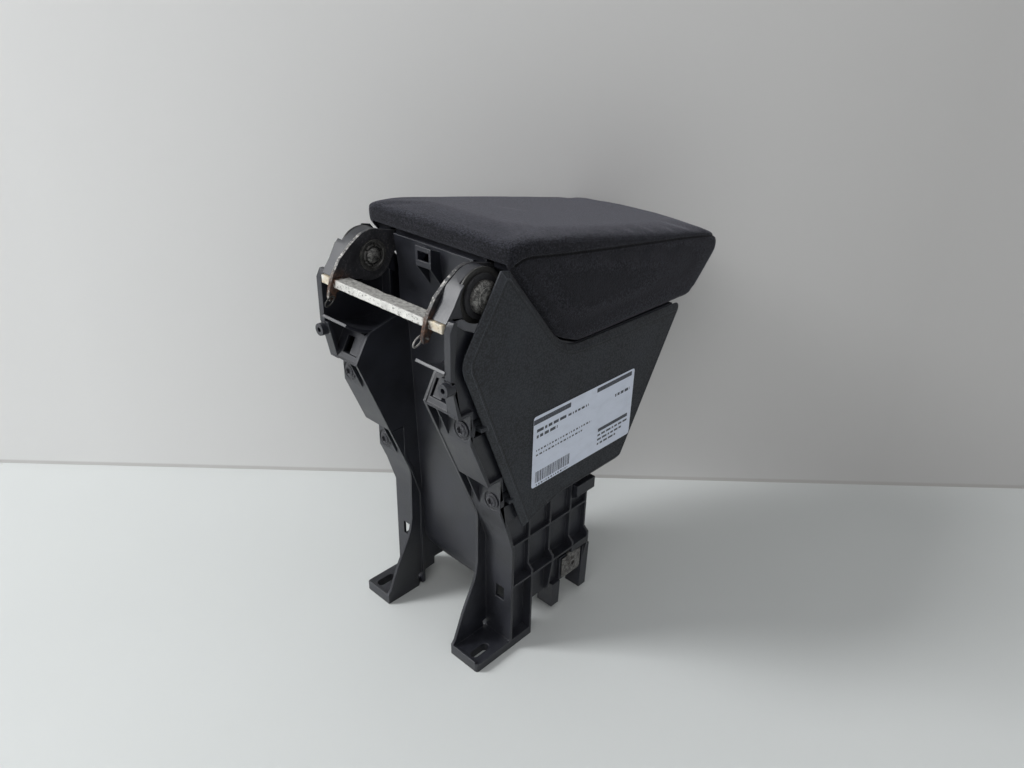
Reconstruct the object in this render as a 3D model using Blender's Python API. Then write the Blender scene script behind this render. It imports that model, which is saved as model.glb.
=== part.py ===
"""A car's centre console armrest: a moulded support frame on two feet, a storage bin between two side
trims, and a padded lid that turns on two headed pins and stops on a steel cross bar.

X runs to the car's right, +Y to its front and +Z up. The feet stand on z = 0 and the part is
symmetric about x = 0, label apart. Heights and lengths are taken from the feet's rear edge, and every
mesh is moved back by CENTRE_Y, so that the origin lies under the middle of the part.
"""
import math

import bmesh
import bpy

for old in list(bpy.data.objects):
    bpy.data.objects.remove(old, do_unlink=True)

# Clearances
GAP = 0.0003
WELD = 0.000005
FLAT_ANGLE = 0.0005
SCREW_PLAY = 0.0003

# Support frame
FRAME_HALF = 0.0665
WALL = 0.0025
FOOT_THICK = 0.0075
FOOT_LENGTH = 0.0594
FOOT_INNER_LENGTH = 0.0322
FOOT_SLOT_WIDTH = 0.0065
FOOT_SLOT_LENGTH = 0.017
FOOT_SLOT_X = FRAME_HALF - 0.0100
FOOT_SLOT_Y = 0.0125
INNER_X_FOOT = 0.0378
INNER_X_TOP = 0.0342
INNER_EDGE = INNER_X_TOP + 0.0012
COLUMN_Y = 0.0353
COLUMN_TOP_Z = 0.095
KNEE_Z = 0.118
KNEE_Y = 0.0275
FLANGE_TOP_Y = -0.0175
FLANGE_TOP_Z = 0.2265
BRACKET_TOP_Y = -0.007
BRACKET_TOP_Z = 0.245
STRIP_Y = -0.0225
STRIP_LOW_Z = 0.252
STRIP_TOP_Z = 0.289
STRIP_DEPTH = 0.003
PLATE_TIP_Y = -0.0165
PLATE_IN = 0.0575
SIDE_IN = FRAME_HALF - 0.0055
SIDE_OUT = SIDE_IN + WALL
WEB_IN = FRAME_HALF - 0.0105
WEB_SET_BACK = 0.0006
LEDGE_LOW_Z = 0.1622
LEDGE_HIGH_Z = 0.2235
LEDGE_RIB_X = 0.0455
LEDGE_RIB_THICK = 0.0012
RIB_UPPER_X = FRAME_HALF - 0.0045
RIB_THICK = 0.0020
LATTICE_FRONT = 0.126
LATTICE_LOW_Z = 0.0255
LATTICE_TOP_Z = 0.1225
LATTICE_STEP_Z = 0.0665
UPRIGHT_Y = (0.0574, 0.0810, 0.1050, 0.1240)
LOWER_RIB_Z = 0.0597
UPPER_RIB_Z = 0.0925
DECK_Z = 0.101
BACK_TOP_Z = 0.3105
BACK_TOP_Y = 0.0222
BACK_KINK_Z = 0.2710
BACK_KINK_Y = 0.0275
BACK_BEND_Z = 0.048
BACK_BEND_Y = 0.041
BACK_LOW_Z = 0.0218
BACK_LOW_Y = 0.060
BULKHEAD_Y = 0.028
ARM_SLOT_IN = 0.0420
ARM_SLOT_OUT = 0.0520
TROUGH_RADIUS = 0.0498
WINDOW_X = FRAME_HALF - 0.0119
WINDOW_Z = 0.0495

# Hinge
HUB_Y = 0.0088
HUB_Z = 0.2966
EAR_RADIUS = 0.0175
EAR_IN = 0.0488
EAR_FACE = FRAME_HALF - 0.0095
RECESS_RADIUS = 0.0184
PIN_RADIUS = 0.0060
PIN_END_RADIUS = 0.0058
PIN_HEAD_RADIUS = 0.0105
PIN_HEAD_THICK = 0.0045
BUSH_WALL = 0.0018
BUSH_PLAY = 0.0003
SPRING_RADIUS = 0.0176
SPRING_THICK = 0.0012
SPRING_DISH = 0.0004
FRICTION_RADIUS = 0.0142
FRICTION_THICK = 0.0015
ARM_THICK = 0.0030
ARM_IN = EAR_IN - GAP - ARM_THICK
ARM_HEAD_RADIUS = 0.0177
NUT_RADIUS = 0.0107
NUT_THICK = 0.0013
BAR_LENGTH = 2 * (SIDE_IN - 0.0010)
BAR_DEPTH = 0.0065
BAR_HEIGHT = 0.0060
BAR_Y = -0.0198
BAR_Z = 0.2838
BAR_MIDDLE_DEPTH = 0.0105
BAR_MIDDLE_HALF = 0.0430
BAR_ROUND = 0.0007
HOOK_WIRE = 0.0009
HOOK_PLACE = (-0.0246, 0.2756)
HOOK_CENTRE = (-0.0292, 0.2731)
HOOK_REACH = (0.0034, 0.0046)

# Trim screws, clip nuts and label
SCREW_X = FRAME_HALF - 0.0080
LOW_SCREW_Y = 0.0222
LOW_SCREW_Z = 0.1421
HIGH_SCREW_Y = -0.0057
HIGH_SCREW_Z = 0.2105
SCREW_HEAD_RADIUS = 0.0057
SCREW_HEAD_THICK = 0.0022
SCREW_RADIUS = 0.0020
SCREW_LENGTH = 0.014
PAD_RADIUS = 0.0085
PAD_THICK = 0.003
PAD_RECESS = 0.0008
PAD_RECESS_RADIUS = 0.00725
TRIM_BOSS_RADIUS = 0.0050
TRIM_IN = FRAME_HALF
TRIM_OUT = TRIM_IN + 0.0040
TRIM_CHAMFER = 0.004
TRIM_WALL = 0.0026
LABEL_LENGTH = 0.114
LABEL_HEIGHT = 0.0575
LABEL_Y = 0.048
LABEL_Z = 0.145
LABEL_THICK = 0.00025

# Storage bin and lid
BIN_HALF = WEB_IN - 0.0020
BIN_WALL = 0.002
BIN_REAR_Y = 0.0475
BIN_RIM = -0.0042
FLANGE_SHEET = 0.002
LID_HALF = FRAME_HALF + 0.0015
LID_PAD_TOP = 0.012
LID_PAD_END = 0.0045
LID_PAD_SIDE = 0.0038
CARRIER_WALL = 0.0025
CARRIER_LIFT = 0.0006
CARRIER_HALF = LID_HALF - LID_PAD_SIDE - GAP
LINER_WALL = 0.0022
LINER_LIFT = 0.0012
LINER_HALF = CARRIER_HALF - CARRIER_WALL - GAP
LINER_BOSS_X = 0.050
LINER_BOSS_Y = (0.108, 0.215)
LINER_BOSS_RADIUS = 0.0042
FLANGE_PAD = 0.0050
PAN_HEAD_RADIUS = 0.0036
PAN_HEAD_THICK = 0.0020
ARM_FLANGE_WIDTH = 0.013
ARM_FLANGE_REAR = 0.044
ARM_FLANGE_FRONT = 0.086
ARM_SHEET = 0.0025
ARM_SCREW_X = ARM_IN - ARM_FLANGE_WIDTH / 2
BUFFER_X = BIN_HALF + 0.0022
BUFFER_Y = 0.2020
BUFFER_RADIUS = 0.0042
BUFFER_STEM = 0.0018

# The lid's split line falls from behind the hinge to a bend and runs level to the front
SPLIT = ((0.0240, 0.3130), (0.0660, 0.2608), (0.0770, 0.2516), (0.0930, 0.2449), (0.2330, 0.2415))
LID_NOSE_LOW = (0.2680, 0.2755)
LID_NOSE_TOP = (0.2655, 0.2835)
LID_TOP_FRONT = (0.2500, 0.2905)
LID_TOP_REAR = (0.0450, 0.3250)
LID_REAR_TOP = (0.0235, 0.3255)

REAR_MOST = HOOK_CENTRE[0] - HOOK_REACH[0] - HOOK_WIRE
FRONT_MOST = LID_NOSE_LOW[0] - 0.0006
CENTRE_Y = (REAR_MOST + FRONT_MOST) / 2

SIDES = (("right", 1), ("left", -1))
TRIM_HOLLOW_CORNER = 5


def material(name, color, roughness, metallic=0.0):
    """A Principled BSDF material with one colour."""
    made = bpy.data.materials.new(name)
    made.use_nodes = True
    shader = made.node_tree.nodes["Principled BSDF"]
    shader.inputs["Base Color"].default_value = (*color, 1.0)
    shader.inputs["Roughness"].default_value = roughness
    shader.inputs["Metallic"].default_value = metallic
    made.diffuse_color = (*color, 1.0)
    return made


BLACK_PLASTIC = ("black_plastic", (0.018, 0.019, 0.021), 0.5, 0.0)
TRIM_PLASTIC = ("trim_plastic", (0.030, 0.034, 0.038), 0.55, 0.0)
FABRIC = ("fabric", (0.016, 0.016, 0.018), 0.95, 0.0)
PAINTED_STEEL = ("painted_steel", (0.030, 0.030, 0.032), 0.45, 0.6)
ZINC_STEEL = ("zinc_steel", (0.62, 0.61, 0.57), 0.38, 1.0)
BRIGHT_STEEL = ("bright_steel", (0.55, 0.54, 0.50), 0.32, 1.0)
RUBBER = ("rubber", (0.015, 0.015, 0.015), 0.8, 0.0)
BRONZE = ("bronze", (0.45, 0.30, 0.14), 0.4, 1.0)
PAPER = ("paper", (0.82, 0.83, 0.84), 0.6, 0.0)


def finish(item, look):
    """Gives an object its material, smooth round faces and clean normals."""
    item.data.materials.clear()
    item.data.materials.append(material(look[0] + "_" + item.name, *look[1:]))
    mesh = bmesh.new()
    mesh.from_mesh(item.data)
    bmesh.ops.remove_doubles(mesh, verts=mesh.verts, dist=WELD)
    bmesh.ops.dissolve_degenerate(mesh, edges=mesh.edges, dist=WELD)
    bmesh.ops.dissolve_limit(mesh, angle_limit=FLAT_ANGLE, verts=mesh.verts, edges=mesh.edges)
    bmesh.ops.triangulate(mesh, faces=mesh.faces)
    bmesh.ops.dissolve_degenerate(mesh, edges=mesh.edges, dist=WELD)
    mesh.to_mesh(item.data)
    mesh.free()
    item.data.shade_smooth()
    item.data.set_sharp_from_angle(angle=math.radians(32))
    return item


def from_bmesh(name, mesh):
    """Turns a bmesh into an object with its faces pointing out."""
    bmesh.ops.recalc_face_normals(mesh, faces=mesh.faces)
    data = bpy.data.meshes.new(name)
    mesh.to_mesh(data)
    mesh.free()
    item = bpy.data.objects.new(name, data)
    bpy.context.collection.objects.link(item)
    return item


def space(axis, along, first, second):
    """A point from its place along an axis and its two other coordinates, in X, Y, Z order."""
    if axis == "X":
        return (along, first - CENTRE_Y, second)
    if axis == "Y":
        return (first, along - CENTRE_Y, second)
    return (first, second - CENTRE_Y, along)


def prism(axis, outline, low, high, name="tool"):
    """An outline in the plane across an axis, extruded from low to high along it."""
    mesh = bmesh.new()
    lower = [mesh.verts.new(space(axis, low, *point)) for point in outline]
    face = mesh.faces.new(lower)
    swept = bmesh.ops.extrude_face_region(mesh, geom=[face])
    shift = [0.0, 0.0, 0.0]
    shift["XYZ".index(axis)] = high - low
    moved = [part for part in swept["geom"] if isinstance(part, bmesh.types.BMVert)]
    bmesh.ops.translate(mesh, verts=moved, vec=shift)
    return from_bmesh(name, mesh)


def box(x0, x1, y0, y1, z0, z1, name="tool"):
    """A box between two corners."""
    return prism("Z", [(x0, y0), (x1, y0), (x1, y1), (x0, y1)], z0, z1, name)


def circle(first, second, radius, count=24):
    """The points of a full circle."""
    turn = 2 * math.pi / count
    return [(first + radius * math.cos(turn * step), second + radius * math.sin(turn * step)) for step in range(count)]


def arc(first, second, radius, begin, end, count):
    """The points of an arc, with its angles in degrees."""
    points = []
    for step in range(count + 1):
        angle = math.radians(begin + (end - begin) * step / count)
        points.append((first + radius * math.cos(angle), second + radius * math.sin(angle)))
    return points


def round_corners(outline, radii, count=6):
    """Replaces the corners named in radii, by index, with arcs of that radius."""
    rounded = []
    for index, corner in enumerate(outline):
        radius = radii.get(index, 0.0)
        if radius == 0.0:
            rounded.append(corner)
            continue
        before = outline[index - 1]
        after = outline[(index + 1) % len(outline)]
        into = math.atan2(before[1] - corner[1], before[0] - corner[0])
        away = math.atan2(after[1] - corner[1], after[0] - corner[0])
        opening = (away - into + math.pi) % (2 * math.pi) - math.pi
        back = radius / math.tan(abs(opening) / 2)
        middle = into + opening / 2
        reach = radius / math.sin(abs(opening) / 2)
        centre = (corner[0] + reach * math.cos(middle), corner[1] + reach * math.sin(middle))
        first = (corner[0] + back * math.cos(into), corner[1] + back * math.sin(into))
        begin = math.atan2(first[1] - centre[1], first[0] - centre[0])
        sweep = math.copysign(math.pi - abs(opening), -opening)
        for step in range(count + 1):
            angle = begin + sweep * step / count
            rounded.append((centre[0] + radius * math.cos(angle), centre[1] + radius * math.sin(angle)))
    return rounded


def moved_edges(outline, distances):
    """Moves each edge of an anticlockwise outline inwards by its own distance."""
    lines = []
    for index, point in enumerate(outline):
        after = outline[(index + 1) % len(outline)]
        length = math.hypot(after[0] - point[0], after[1] - point[1])
        along = ((after[0] - point[0]) / length, (after[1] - point[1]) / length)
        start = (point[0] - along[1] * distances[index], point[1] + along[0] * distances[index])
        lines.append((start, along))
    corners = []
    for index, (start, along) in enumerate(lines):
        other, before = lines[index - 1]
        cross = before[0] * along[1] - before[1] * along[0]
        reach = ((start[0] - other[0]) * along[1] - (start[1] - other[1]) * along[0]) / cross
        corners.append((other[0] + before[0] * reach, other[1] + before[1] * reach))
    return corners


def combine(target, operation, *tools):
    """Joins the tools to the target, or cuts them from it, in one Boolean, and removes the tools."""
    holder = bpy.data.collections.new("tools")
    for tool in tools:
        holder.objects.link(tool)
    change = target.modifiers.new(operation, "BOOLEAN")
    change.operation = operation
    change.solver = "EXACT"
    change.operand_type = "COLLECTION"
    change.collection = holder
    bpy.context.view_layer.objects.active = target
    bpy.ops.object.modifier_apply(modifier=change.name)
    for tool in tools:
        bpy.data.objects.remove(tool, do_unlink=True)
    bpy.data.collections.remove(holder)
    return target


def fuse(target, *tools):
    """Joins the tools to the target."""
    return combine(target, "UNION", *tools)


def cut(target, *tools):
    """Cuts the tools from the target."""
    return combine(target, "DIFFERENCE", *tools)


def turned(axis, first, second, profile, name="tool", count=28):
    """A closed profile of (radius, place along the axis) pairs, spun about a line through a point."""
    mesh = bmesh.new()
    loop = [mesh.verts.new(space(axis, along, first + radius, second)) for radius, along in profile]
    edges = [mesh.edges.new((loop[index], loop[(index + 1) % len(loop)])) for index in range(len(loop))]
    direction = [0.0, 0.0, 0.0]
    direction["XYZ".index(axis)] = 1.0
    bmesh.ops.spin(mesh, geom=loop + edges, cent=space(axis, 0.0, first, second), axis=direction,
                   angle=2 * math.pi, steps=count, use_merge=True)
    bmesh.ops.remove_doubles(mesh, verts=mesh.verts, dist=0.000001)
    return from_bmesh(name, mesh)


def ring(inner, outer, low, high):
    """The section of a plain ring or sleeve."""
    return [(inner, low), (outer, low), (outer, high), (inner, high)]


def across(side, near, far):
    """Two places along X on one side, the smaller first."""
    return (near, far) if side > 0 else (-far, -near)


def mirrored(item):
    """Gives an object built for x >= 0 its other half."""
    change = item.modifiers.new("mirror", "MIRROR")
    change.use_axis = (True, False, False)
    change.use_bisect_axis = (True, False, False)
    change.merge_threshold = 0.00001
    bpy.context.view_layer.objects.active = item
    bpy.ops.object.modifier_apply(modifier=change.name)
    return item


def split_height(y):
    """The split line's height at a place along Y."""
    for (y0, z0), (y1, z1) in zip(SPLIT, SPLIT[1:]):
        if y <= y1:
            return z0 + (z1 - z0) * (y - y0) / (y1 - y0)
    return SPLIT[-1][1]


def split_run(start, end, lift):
    """The split line between two places along Y, raised by lift."""
    inner = [(y, z + lift) for y, z in SPLIT if start < y < end]
    return [(start, split_height(start) + lift)] + inner + [(end, split_height(end) + lift)]


def flange_y(z):
    """The sloping flange's rear edge at a height between the knee and the bracket."""
    return KNEE_Y + (FLANGE_TOP_Y - KNEE_Y) * (z - KNEE_Z) / (FLANGE_TOP_Z - KNEE_Z)


def back_y(z):
    """The back wall's rear face at a height above its bend."""
    return BACK_KINK_Y + (BACK_BEND_Y - BACK_KINK_Y) * (BACK_KINK_Z - z) / (BACK_KINK_Z - BACK_BEND_Z)


def trim_outline(inset=0.0):
    """The side trim's outline, anticlockwise in Y and Z, moved in by inset, with its corners rounded."""
    corners = [(0.0440, 0.1125), (0.0560, 0.1165), (0.0840, 0.1230), (0.1560, 0.1230), (0.2225, 0.2390),
               (0.0795, 0.2424), (0.0245, 0.3105), (0.0175, 0.3120), (-0.0155, 0.2600)]
    radii = {3: 0.008, 4: 0.004, 8: 0.016}
    rounded = {index: max(radius - inset, 0.001) for index, radius in radii.items()}
    rounded[TRIM_HOLLOW_CORNER] = 0.038 + inset
    return round_corners(moved_edges(corners, [inset] * len(corners)), rounded, 6)


def lid_outline():
    """The lid's side view, anticlockwise in Y and Z, starting at the rear end of the split line."""
    return list(SPLIT) + [LID_NOSE_LOW, LID_NOSE_TOP, LID_TOP_FRONT, LID_TOP_REAR, LID_REAR_TOP]


def top_height(y):
    """The height of the lid's straight top line at a place along Y."""
    slope = (LID_TOP_FRONT[1] - LID_TOP_REAR[1]) / (LID_TOP_FRONT[0] - LID_TOP_REAR[0])
    return LID_TOP_REAR[1] + slope * (y - LID_TOP_REAR[0])


def lid_inside(bottom, top, end):
    """The lid's side view with a sharp nose, moved in by one distance below, one above and one at both ends."""
    front_y, front_z = SPLIT[-1]
    rise = (LID_NOSE_LOW[1] - front_z) / (LID_NOSE_LOW[0] - front_y)
    fall = top_height(1.0) - top_height(0.0)
    tip = (top_height(0.0) - front_z + rise * front_y) / (rise - fall)
    outline = list(SPLIT) + [(tip, top_height(tip)), LID_TOP_REAR, LID_REAR_TOP]
    return moved_edges(outline, [bottom] * (len(SPLIT) - 1) + [end, top, top, end])


def inner_wall():
    """The frame's inner wall, drafted from the foot up to the clip bracket."""
    outline = [(0.0, 0.0), (FOOT_INNER_LENGTH, 0.0), (FOOT_INNER_LENGTH, 0.013), (0.0500, 0.0145),
               (0.0502, BACK_LOW_Z), (BACK_LOW_Y + WALL, BACK_LOW_Z), (BACK_BEND_Y + WALL, BACK_BEND_Z)]
    top = 0.256
    outline += [(back_y(top) + WALL, top), (back_y(top), top), (BRACKET_TOP_Y + WALL, BRACKET_TOP_Z + 0.002),
                (BRACKET_TOP_Y, BRACKET_TOP_Z), (FLANGE_TOP_Y, FLANGE_TOP_Z), (KNEE_Y, KNEE_Z),
                (KNEE_Y - 0.0005, 0.074), (0.0248, 0.060), (0.0118, 0.035), (0.0028, 0.0125), (0.0, 0.0095)]
    wall = prism("X", round_corners(outline, {12: 0.03, 14: 0.04, 15: 0.05}, 4), INNER_X_FOOT, INNER_X_FOOT + WALL)
    for vertex in wall.data.vertices:
        vertex.co.x -= (INNER_X_FOOT - INNER_X_TOP) * vertex.co.z / BRACKET_TOP_Z
    return wall


def foot():
    """A foot with its raised rear lip and slotted hole."""
    plate = prism("Z", round_corners([(INNER_X_FOOT, 0.0), (FRAME_HALF, 0.0), (FRAME_HALF, FOOT_LENGTH),
                                      (WEB_IN, FOOT_LENGTH), (INNER_X_FOOT, FOOT_INNER_LENGTH)],
                                     {0: 0.0015, 1: 0.0025}, 4), 0.0, FOOT_THICK)
    lip = box(INNER_X_FOOT + 0.0015, FRAME_HALF - 0.0025, 0.0, 0.002, FOOT_THICK / 2, FOOT_THICK + 0.0015)
    fuse(plate, lip)
    half = (FOOT_SLOT_LENGTH - FOOT_SLOT_WIDTH) / 2
    slot = (arc(FOOT_SLOT_X, FOOT_SLOT_Y + half, FOOT_SLOT_WIDTH / 2, 0, 180, 10)
            + arc(FOOT_SLOT_X, FOOT_SLOT_Y - half, FOOT_SLOT_WIDTH / 2, 180, 360, 10))
    return plate, prism("Z", slot, -0.01, FOOT_THICK + 0.01)


def web_y(z):
    """The sloping web's rear face at a height."""
    return flange_y(z) + WEB_SET_BACK


def web_height(y):
    """The height at which the sloping web's rear face passes a place along Y."""
    return KNEE_Z + (y - web_y(KNEE_Z)) * (FLANGE_TOP_Z - KNEE_Z) / (FLANGE_TOP_Y - KNEE_Y)


def ledges():
    """Each ledge over a trim screw, as its upright face along Y, its foot and its top."""
    faces = [y - PAD_RECESS for y, z in screw_places()]
    return [(face, web_height(face), top) for face, top in zip(faces, (LEDGE_LOW_Z, LEDGE_HIGH_Z))]


def web_line():
    """The web's rear face in side view, from the knee to the flange's top: a slope with two ledges."""
    line = [(web_y(KNEE_Z + 0.002), KNEE_Z + 0.002)]
    for face, foot_z, top in ledges():
        line += [(face, foot_z), (face, top), (web_y(top), top)]
    return line + [(web_y(FLANGE_TOP_Z), FLANGE_TOP_Z)]


def column_web():
    """The rear-facing web from the foot up the column and along the stepped flange, with its pocket ribs."""
    rear = [(COLUMN_Y, FOOT_THICK / 2), (COLUMN_Y, COLUMN_TOP_Z)] + web_line()
    deep = [(LATTICE_FRONT, rear[0][1]), (LATTICE_FRONT, rear[-1][1])]
    inner = moved_edges(rear[::-1] + deep, [WALL] * (len(rear) - 1) + [0.0, 0.0, 0.0])[:len(rear)]
    web = prism("X", rear + inner, INNER_EDGE, FRAME_HALF)
    half = LEDGE_RIB_THICK / 2
    ribs = []
    for face, foot_z, top in ledges():
        corners = [(web_y(top), top + WALL / 2), (web_y(top), top), (face, foot_z), (face + WALL / 2, foot_z),
                   (face + WALL / 2, top + WALL / 2)]
        ribs.append(prism("X", corners, LEDGE_RIB_X - half, LEDGE_RIB_X + half))
    return web, ribs


def bracket():
    """The clip bracket's plate over the flange, with its window."""
    rear = [(FLANGE_TOP_Y, FLANGE_TOP_Z - 0.0015), (BRACKET_TOP_Y, BRACKET_TOP_Z)]
    plate = prism("X", rear + [(BRACKET_TOP_Y + WALL, BRACKET_TOP_Z - 0.001),
                               (FLANGE_TOP_Y + WALL, FLANGE_TOP_Z - 0.0025)], INNER_EDGE, SIDE_OUT)
    window = box(0.0385, 0.0535, -0.05, 0.02, FLANGE_TOP_Z + 0.0035, BRACKET_TOP_Z - 0.0040)
    inner = 0.0012
    pad = prism("X", [(y + inner, z) for y, z in rear] + [(y + inner + WALL, z) for y, z in reversed(rear)],
                0.0395, 0.0475)
    return plate, window, pad


def side_plate():
    """The outer side wall behind the trim, from the ear down to the deck."""
    seat = BIN_RIM - 0.0004
    sunk = 0.0010
    outline = [(STRIP_Y + sunk, 0.2810), (STRIP_Y + sunk, STRIP_LOW_Z), (PLATE_TIP_Y + sunk, LEDGE_HIGH_Z + sunk)]
    outline += [(y + sunk, z + sunk) for y, z in web_line()[-2::-1]]
    outline += [(COLUMN_Y + sunk, LATTICE_TOP_Z - RIB_THICK), (LATTICE_FRONT, LATTICE_TOP_Z - RIB_THICK)]
    outline += [(0.1480, 0.1300)]
    outline += split_run(0.0340, 0.2100, seat)[::-1]
    outline += [(0.0300, 0.2760), (0.0050, 0.2740), (-0.0080, 0.2800), (-0.0165, 0.2868)]
    return prism("X", outline, SIDE_IN, SIDE_OUT)


def ear():
    """The pivot ear: a round boss with a rear nose that the cross bar stops against."""
    top = arc(HUB_Y, HUB_Z, EAR_RADIUS, 70, 128, 8)
    under = arc(HUB_Y, HUB_Z, EAR_RADIUS, 212, 318, 12)
    stop_z = BAR_Z + BAR_HEIGHT / 2 + GAP
    outline = ([(0.0305, 0.2980)] + top + [(-0.0093, 0.3052), (-0.0145, 0.2960), (-0.0212, stop_z), (-0.0070, stop_z)]
               + under + [(0.0305, 0.2790)])
    body = prism("X", outline, EAR_IN, SIDE_IN + 0.0005)
    recess = prism("X", circle(HUB_Y, HUB_Z, RECESS_RADIUS, 40), EAR_FACE, SIDE_OUT + 0.01)
    bore = prism("X", circle(HUB_Y, HUB_Z, PIN_RADIUS + BUSH_PLAY + BUSH_WALL + BUSH_PLAY, 28), 0.03, 0.08)
    return body, recess, bore


def trough():
    """The curved plate below the bar, concentric with the hub, that the arms' hooks swing over."""
    inner = arc(HUB_Y, HUB_Z, TROUGH_RADIUS, 231, 292, 14)
    outer = arc(HUB_Y, HUB_Z, TROUGH_RADIUS + 0.0022, 292, 231, 14)
    return prism("X", inner + outer, INNER_EDGE, SIDE_IN + 0.001)


def back_wall():
    """The wall between the two inner walls, with its foot curving forwards."""
    rear = [(BACK_TOP_Y, BACK_TOP_Z), (BACK_KINK_Y, BACK_KINK_Z), (BACK_BEND_Y, BACK_BEND_Z), (BACK_LOW_Y, BACK_LOW_Z)]
    front = [(BACK_LOW_Y + WALL, BACK_LOW_Z), (BACK_BEND_Y + WALL, BACK_BEND_Z + 0.001),
             (BACK_KINK_Y + WALL, BACK_KINK_Z), (BACK_TOP_Y + WALL, BACK_TOP_Z)]
    return prism("X", round_corners(rear + front, {1: 0.05, 2: 0.03, 5: 0.027, 6: 0.047}, 4), -0.002, INNER_X_FOOT + 0.001)


def bulkhead():
    """The wall across the ears behind the bin, with the slot that the arm swings through."""
    outline = [(INNER_X_TOP - 0.001, 0.246), (SIDE_IN + 0.001, 0.246), (SIDE_IN + 0.001, 0.2960),
               (ARM_SLOT_OUT, 0.2960), (ARM_SLOT_OUT, 0.2490), (ARM_SLOT_IN, 0.2490), (ARM_SLOT_IN, 0.3000),
               (INNER_X_TOP + 0.004, 0.3030), (INNER_X_TOP - 0.003, 0.3030)]
    return prism("Y", outline, BULKHEAD_Y, BULKHEAD_Y + WALL)


def eyelet():
    """The small windowed clip behind the back wall's top edge, with its two gussets."""
    left, right, low, high = 0.0, 0.0075, 0.2975, 0.3110
    face = 0.0150
    plate = box(left - 0.002, right, face, face + 0.002, low, high)
    gusset = prism("X", [(face, high), (face, low), (face + 0.003, low - 0.004), (BACK_KINK_Y, 0.2800),
                         (BACK_TOP_Y + 0.001, high - 0.003)], right - 0.0016, right)
    window = box(left - 0.003, right - 0.0022, face - 0.01, face + 0.008, low + 0.0042, high - 0.0032)
    return fuse(plate, gusset), window


def screw_places():
    """Each trim screw's pad face and height."""
    return ((LOW_SCREW_Y, LOW_SCREW_Z), (HIGH_SCREW_Y, HIGH_SCREW_Z))


def lattice():
    """The side's ribbed lower panel: a web, two long ribs, four uprights and a front wall."""
    low_web = prism("X", [(COLUMN_Y, FOOT_THICK / 2), (FOOT_LENGTH, FOOT_THICK / 2), (FOOT_LENGTH, LATTICE_LOW_Z),
                          (0.1225, LATTICE_LOW_Z + 0.0015), (LATTICE_FRONT, 0.031), (LATTICE_FRONT, LATTICE_TOP_Z),
                          (COLUMN_Y, LATTICE_TOP_Z)], WEB_IN, WEB_IN + WALL)
    inside = WEB_IN + 0.001
    half = RIB_THICK / 2
    ribs = [box(inside, RIB_UPPER_X, COLUMN_Y + 0.001, LATTICE_FRONT, UPPER_RIB_Z - half, UPPER_RIB_Z + half),
            box(inside, FRAME_HALF, COLUMN_Y + 0.001, LATTICE_FRONT, LOWER_RIB_Z - half, LOWER_RIB_Z + half),
            box(inside, FRAME_HALF, UPRIGHT_Y[2], LATTICE_FRONT, LOWER_RIB_Z - 0.0055, LOWER_RIB_Z),
            box(inside, SIDE_OUT, COLUMN_Y + 0.001, LATTICE_FRONT, LATTICE_TOP_Z - RIB_THICK, LATTICE_TOP_Z)]
    for y, low in zip(UPRIGHT_Y, (FOOT_THICK / 2, LATTICE_LOW_Z + 0.002, 0.0540, 0.0315)):
        step = [(inside, low), (FRAME_HALF, low), (FRAME_HALF, LATTICE_STEP_Z - 0.002),
                (RIB_UPPER_X, LATTICE_STEP_Z + 0.002), (RIB_UPPER_X, LATTICE_TOP_Z - half),
                (inside, LATTICE_TOP_Z - half)]
        if low > FOOT_THICK:
            step[1] = (FRAME_HALF - 0.004, low)
            step.insert(2, (FRAME_HALF, LOWER_RIB_Z - 0.004))
        ribs.append(prism("Y", step, y, y + RIB_THICK))
    return low_web, ribs


def lugs():
    """The two lugs that hang from the lattice's lower edge and the pad that the clip nut grips."""
    rear = prism("Y", [(0.0470, 0.0055), (0.0625, 0.0055), (0.0632, 0.0290), (0.0560, 0.0290), (0.0470, 0.0120)],
                 0.0880, 0.0970)
    front = prism("Y", [(0.0480, 0.0060), (0.0630, 0.0060), (0.0640, 0.0495), (0.0480, 0.0495)], 0.1225, 0.1310)
    pad = box(WEB_IN + 0.001, 0.0615, 0.0970, 0.1235, 0.0275, 0.0500)
    tab = prism("Y", [(WEB_IN, 0.1000), (0.0660, 0.1060), (0.0660, 0.1160), (SIDE_IN, 0.1160), (WEB_IN, 0.1030)],
                0.1080, 0.1295)
    return rear, front, pad, tab


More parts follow.
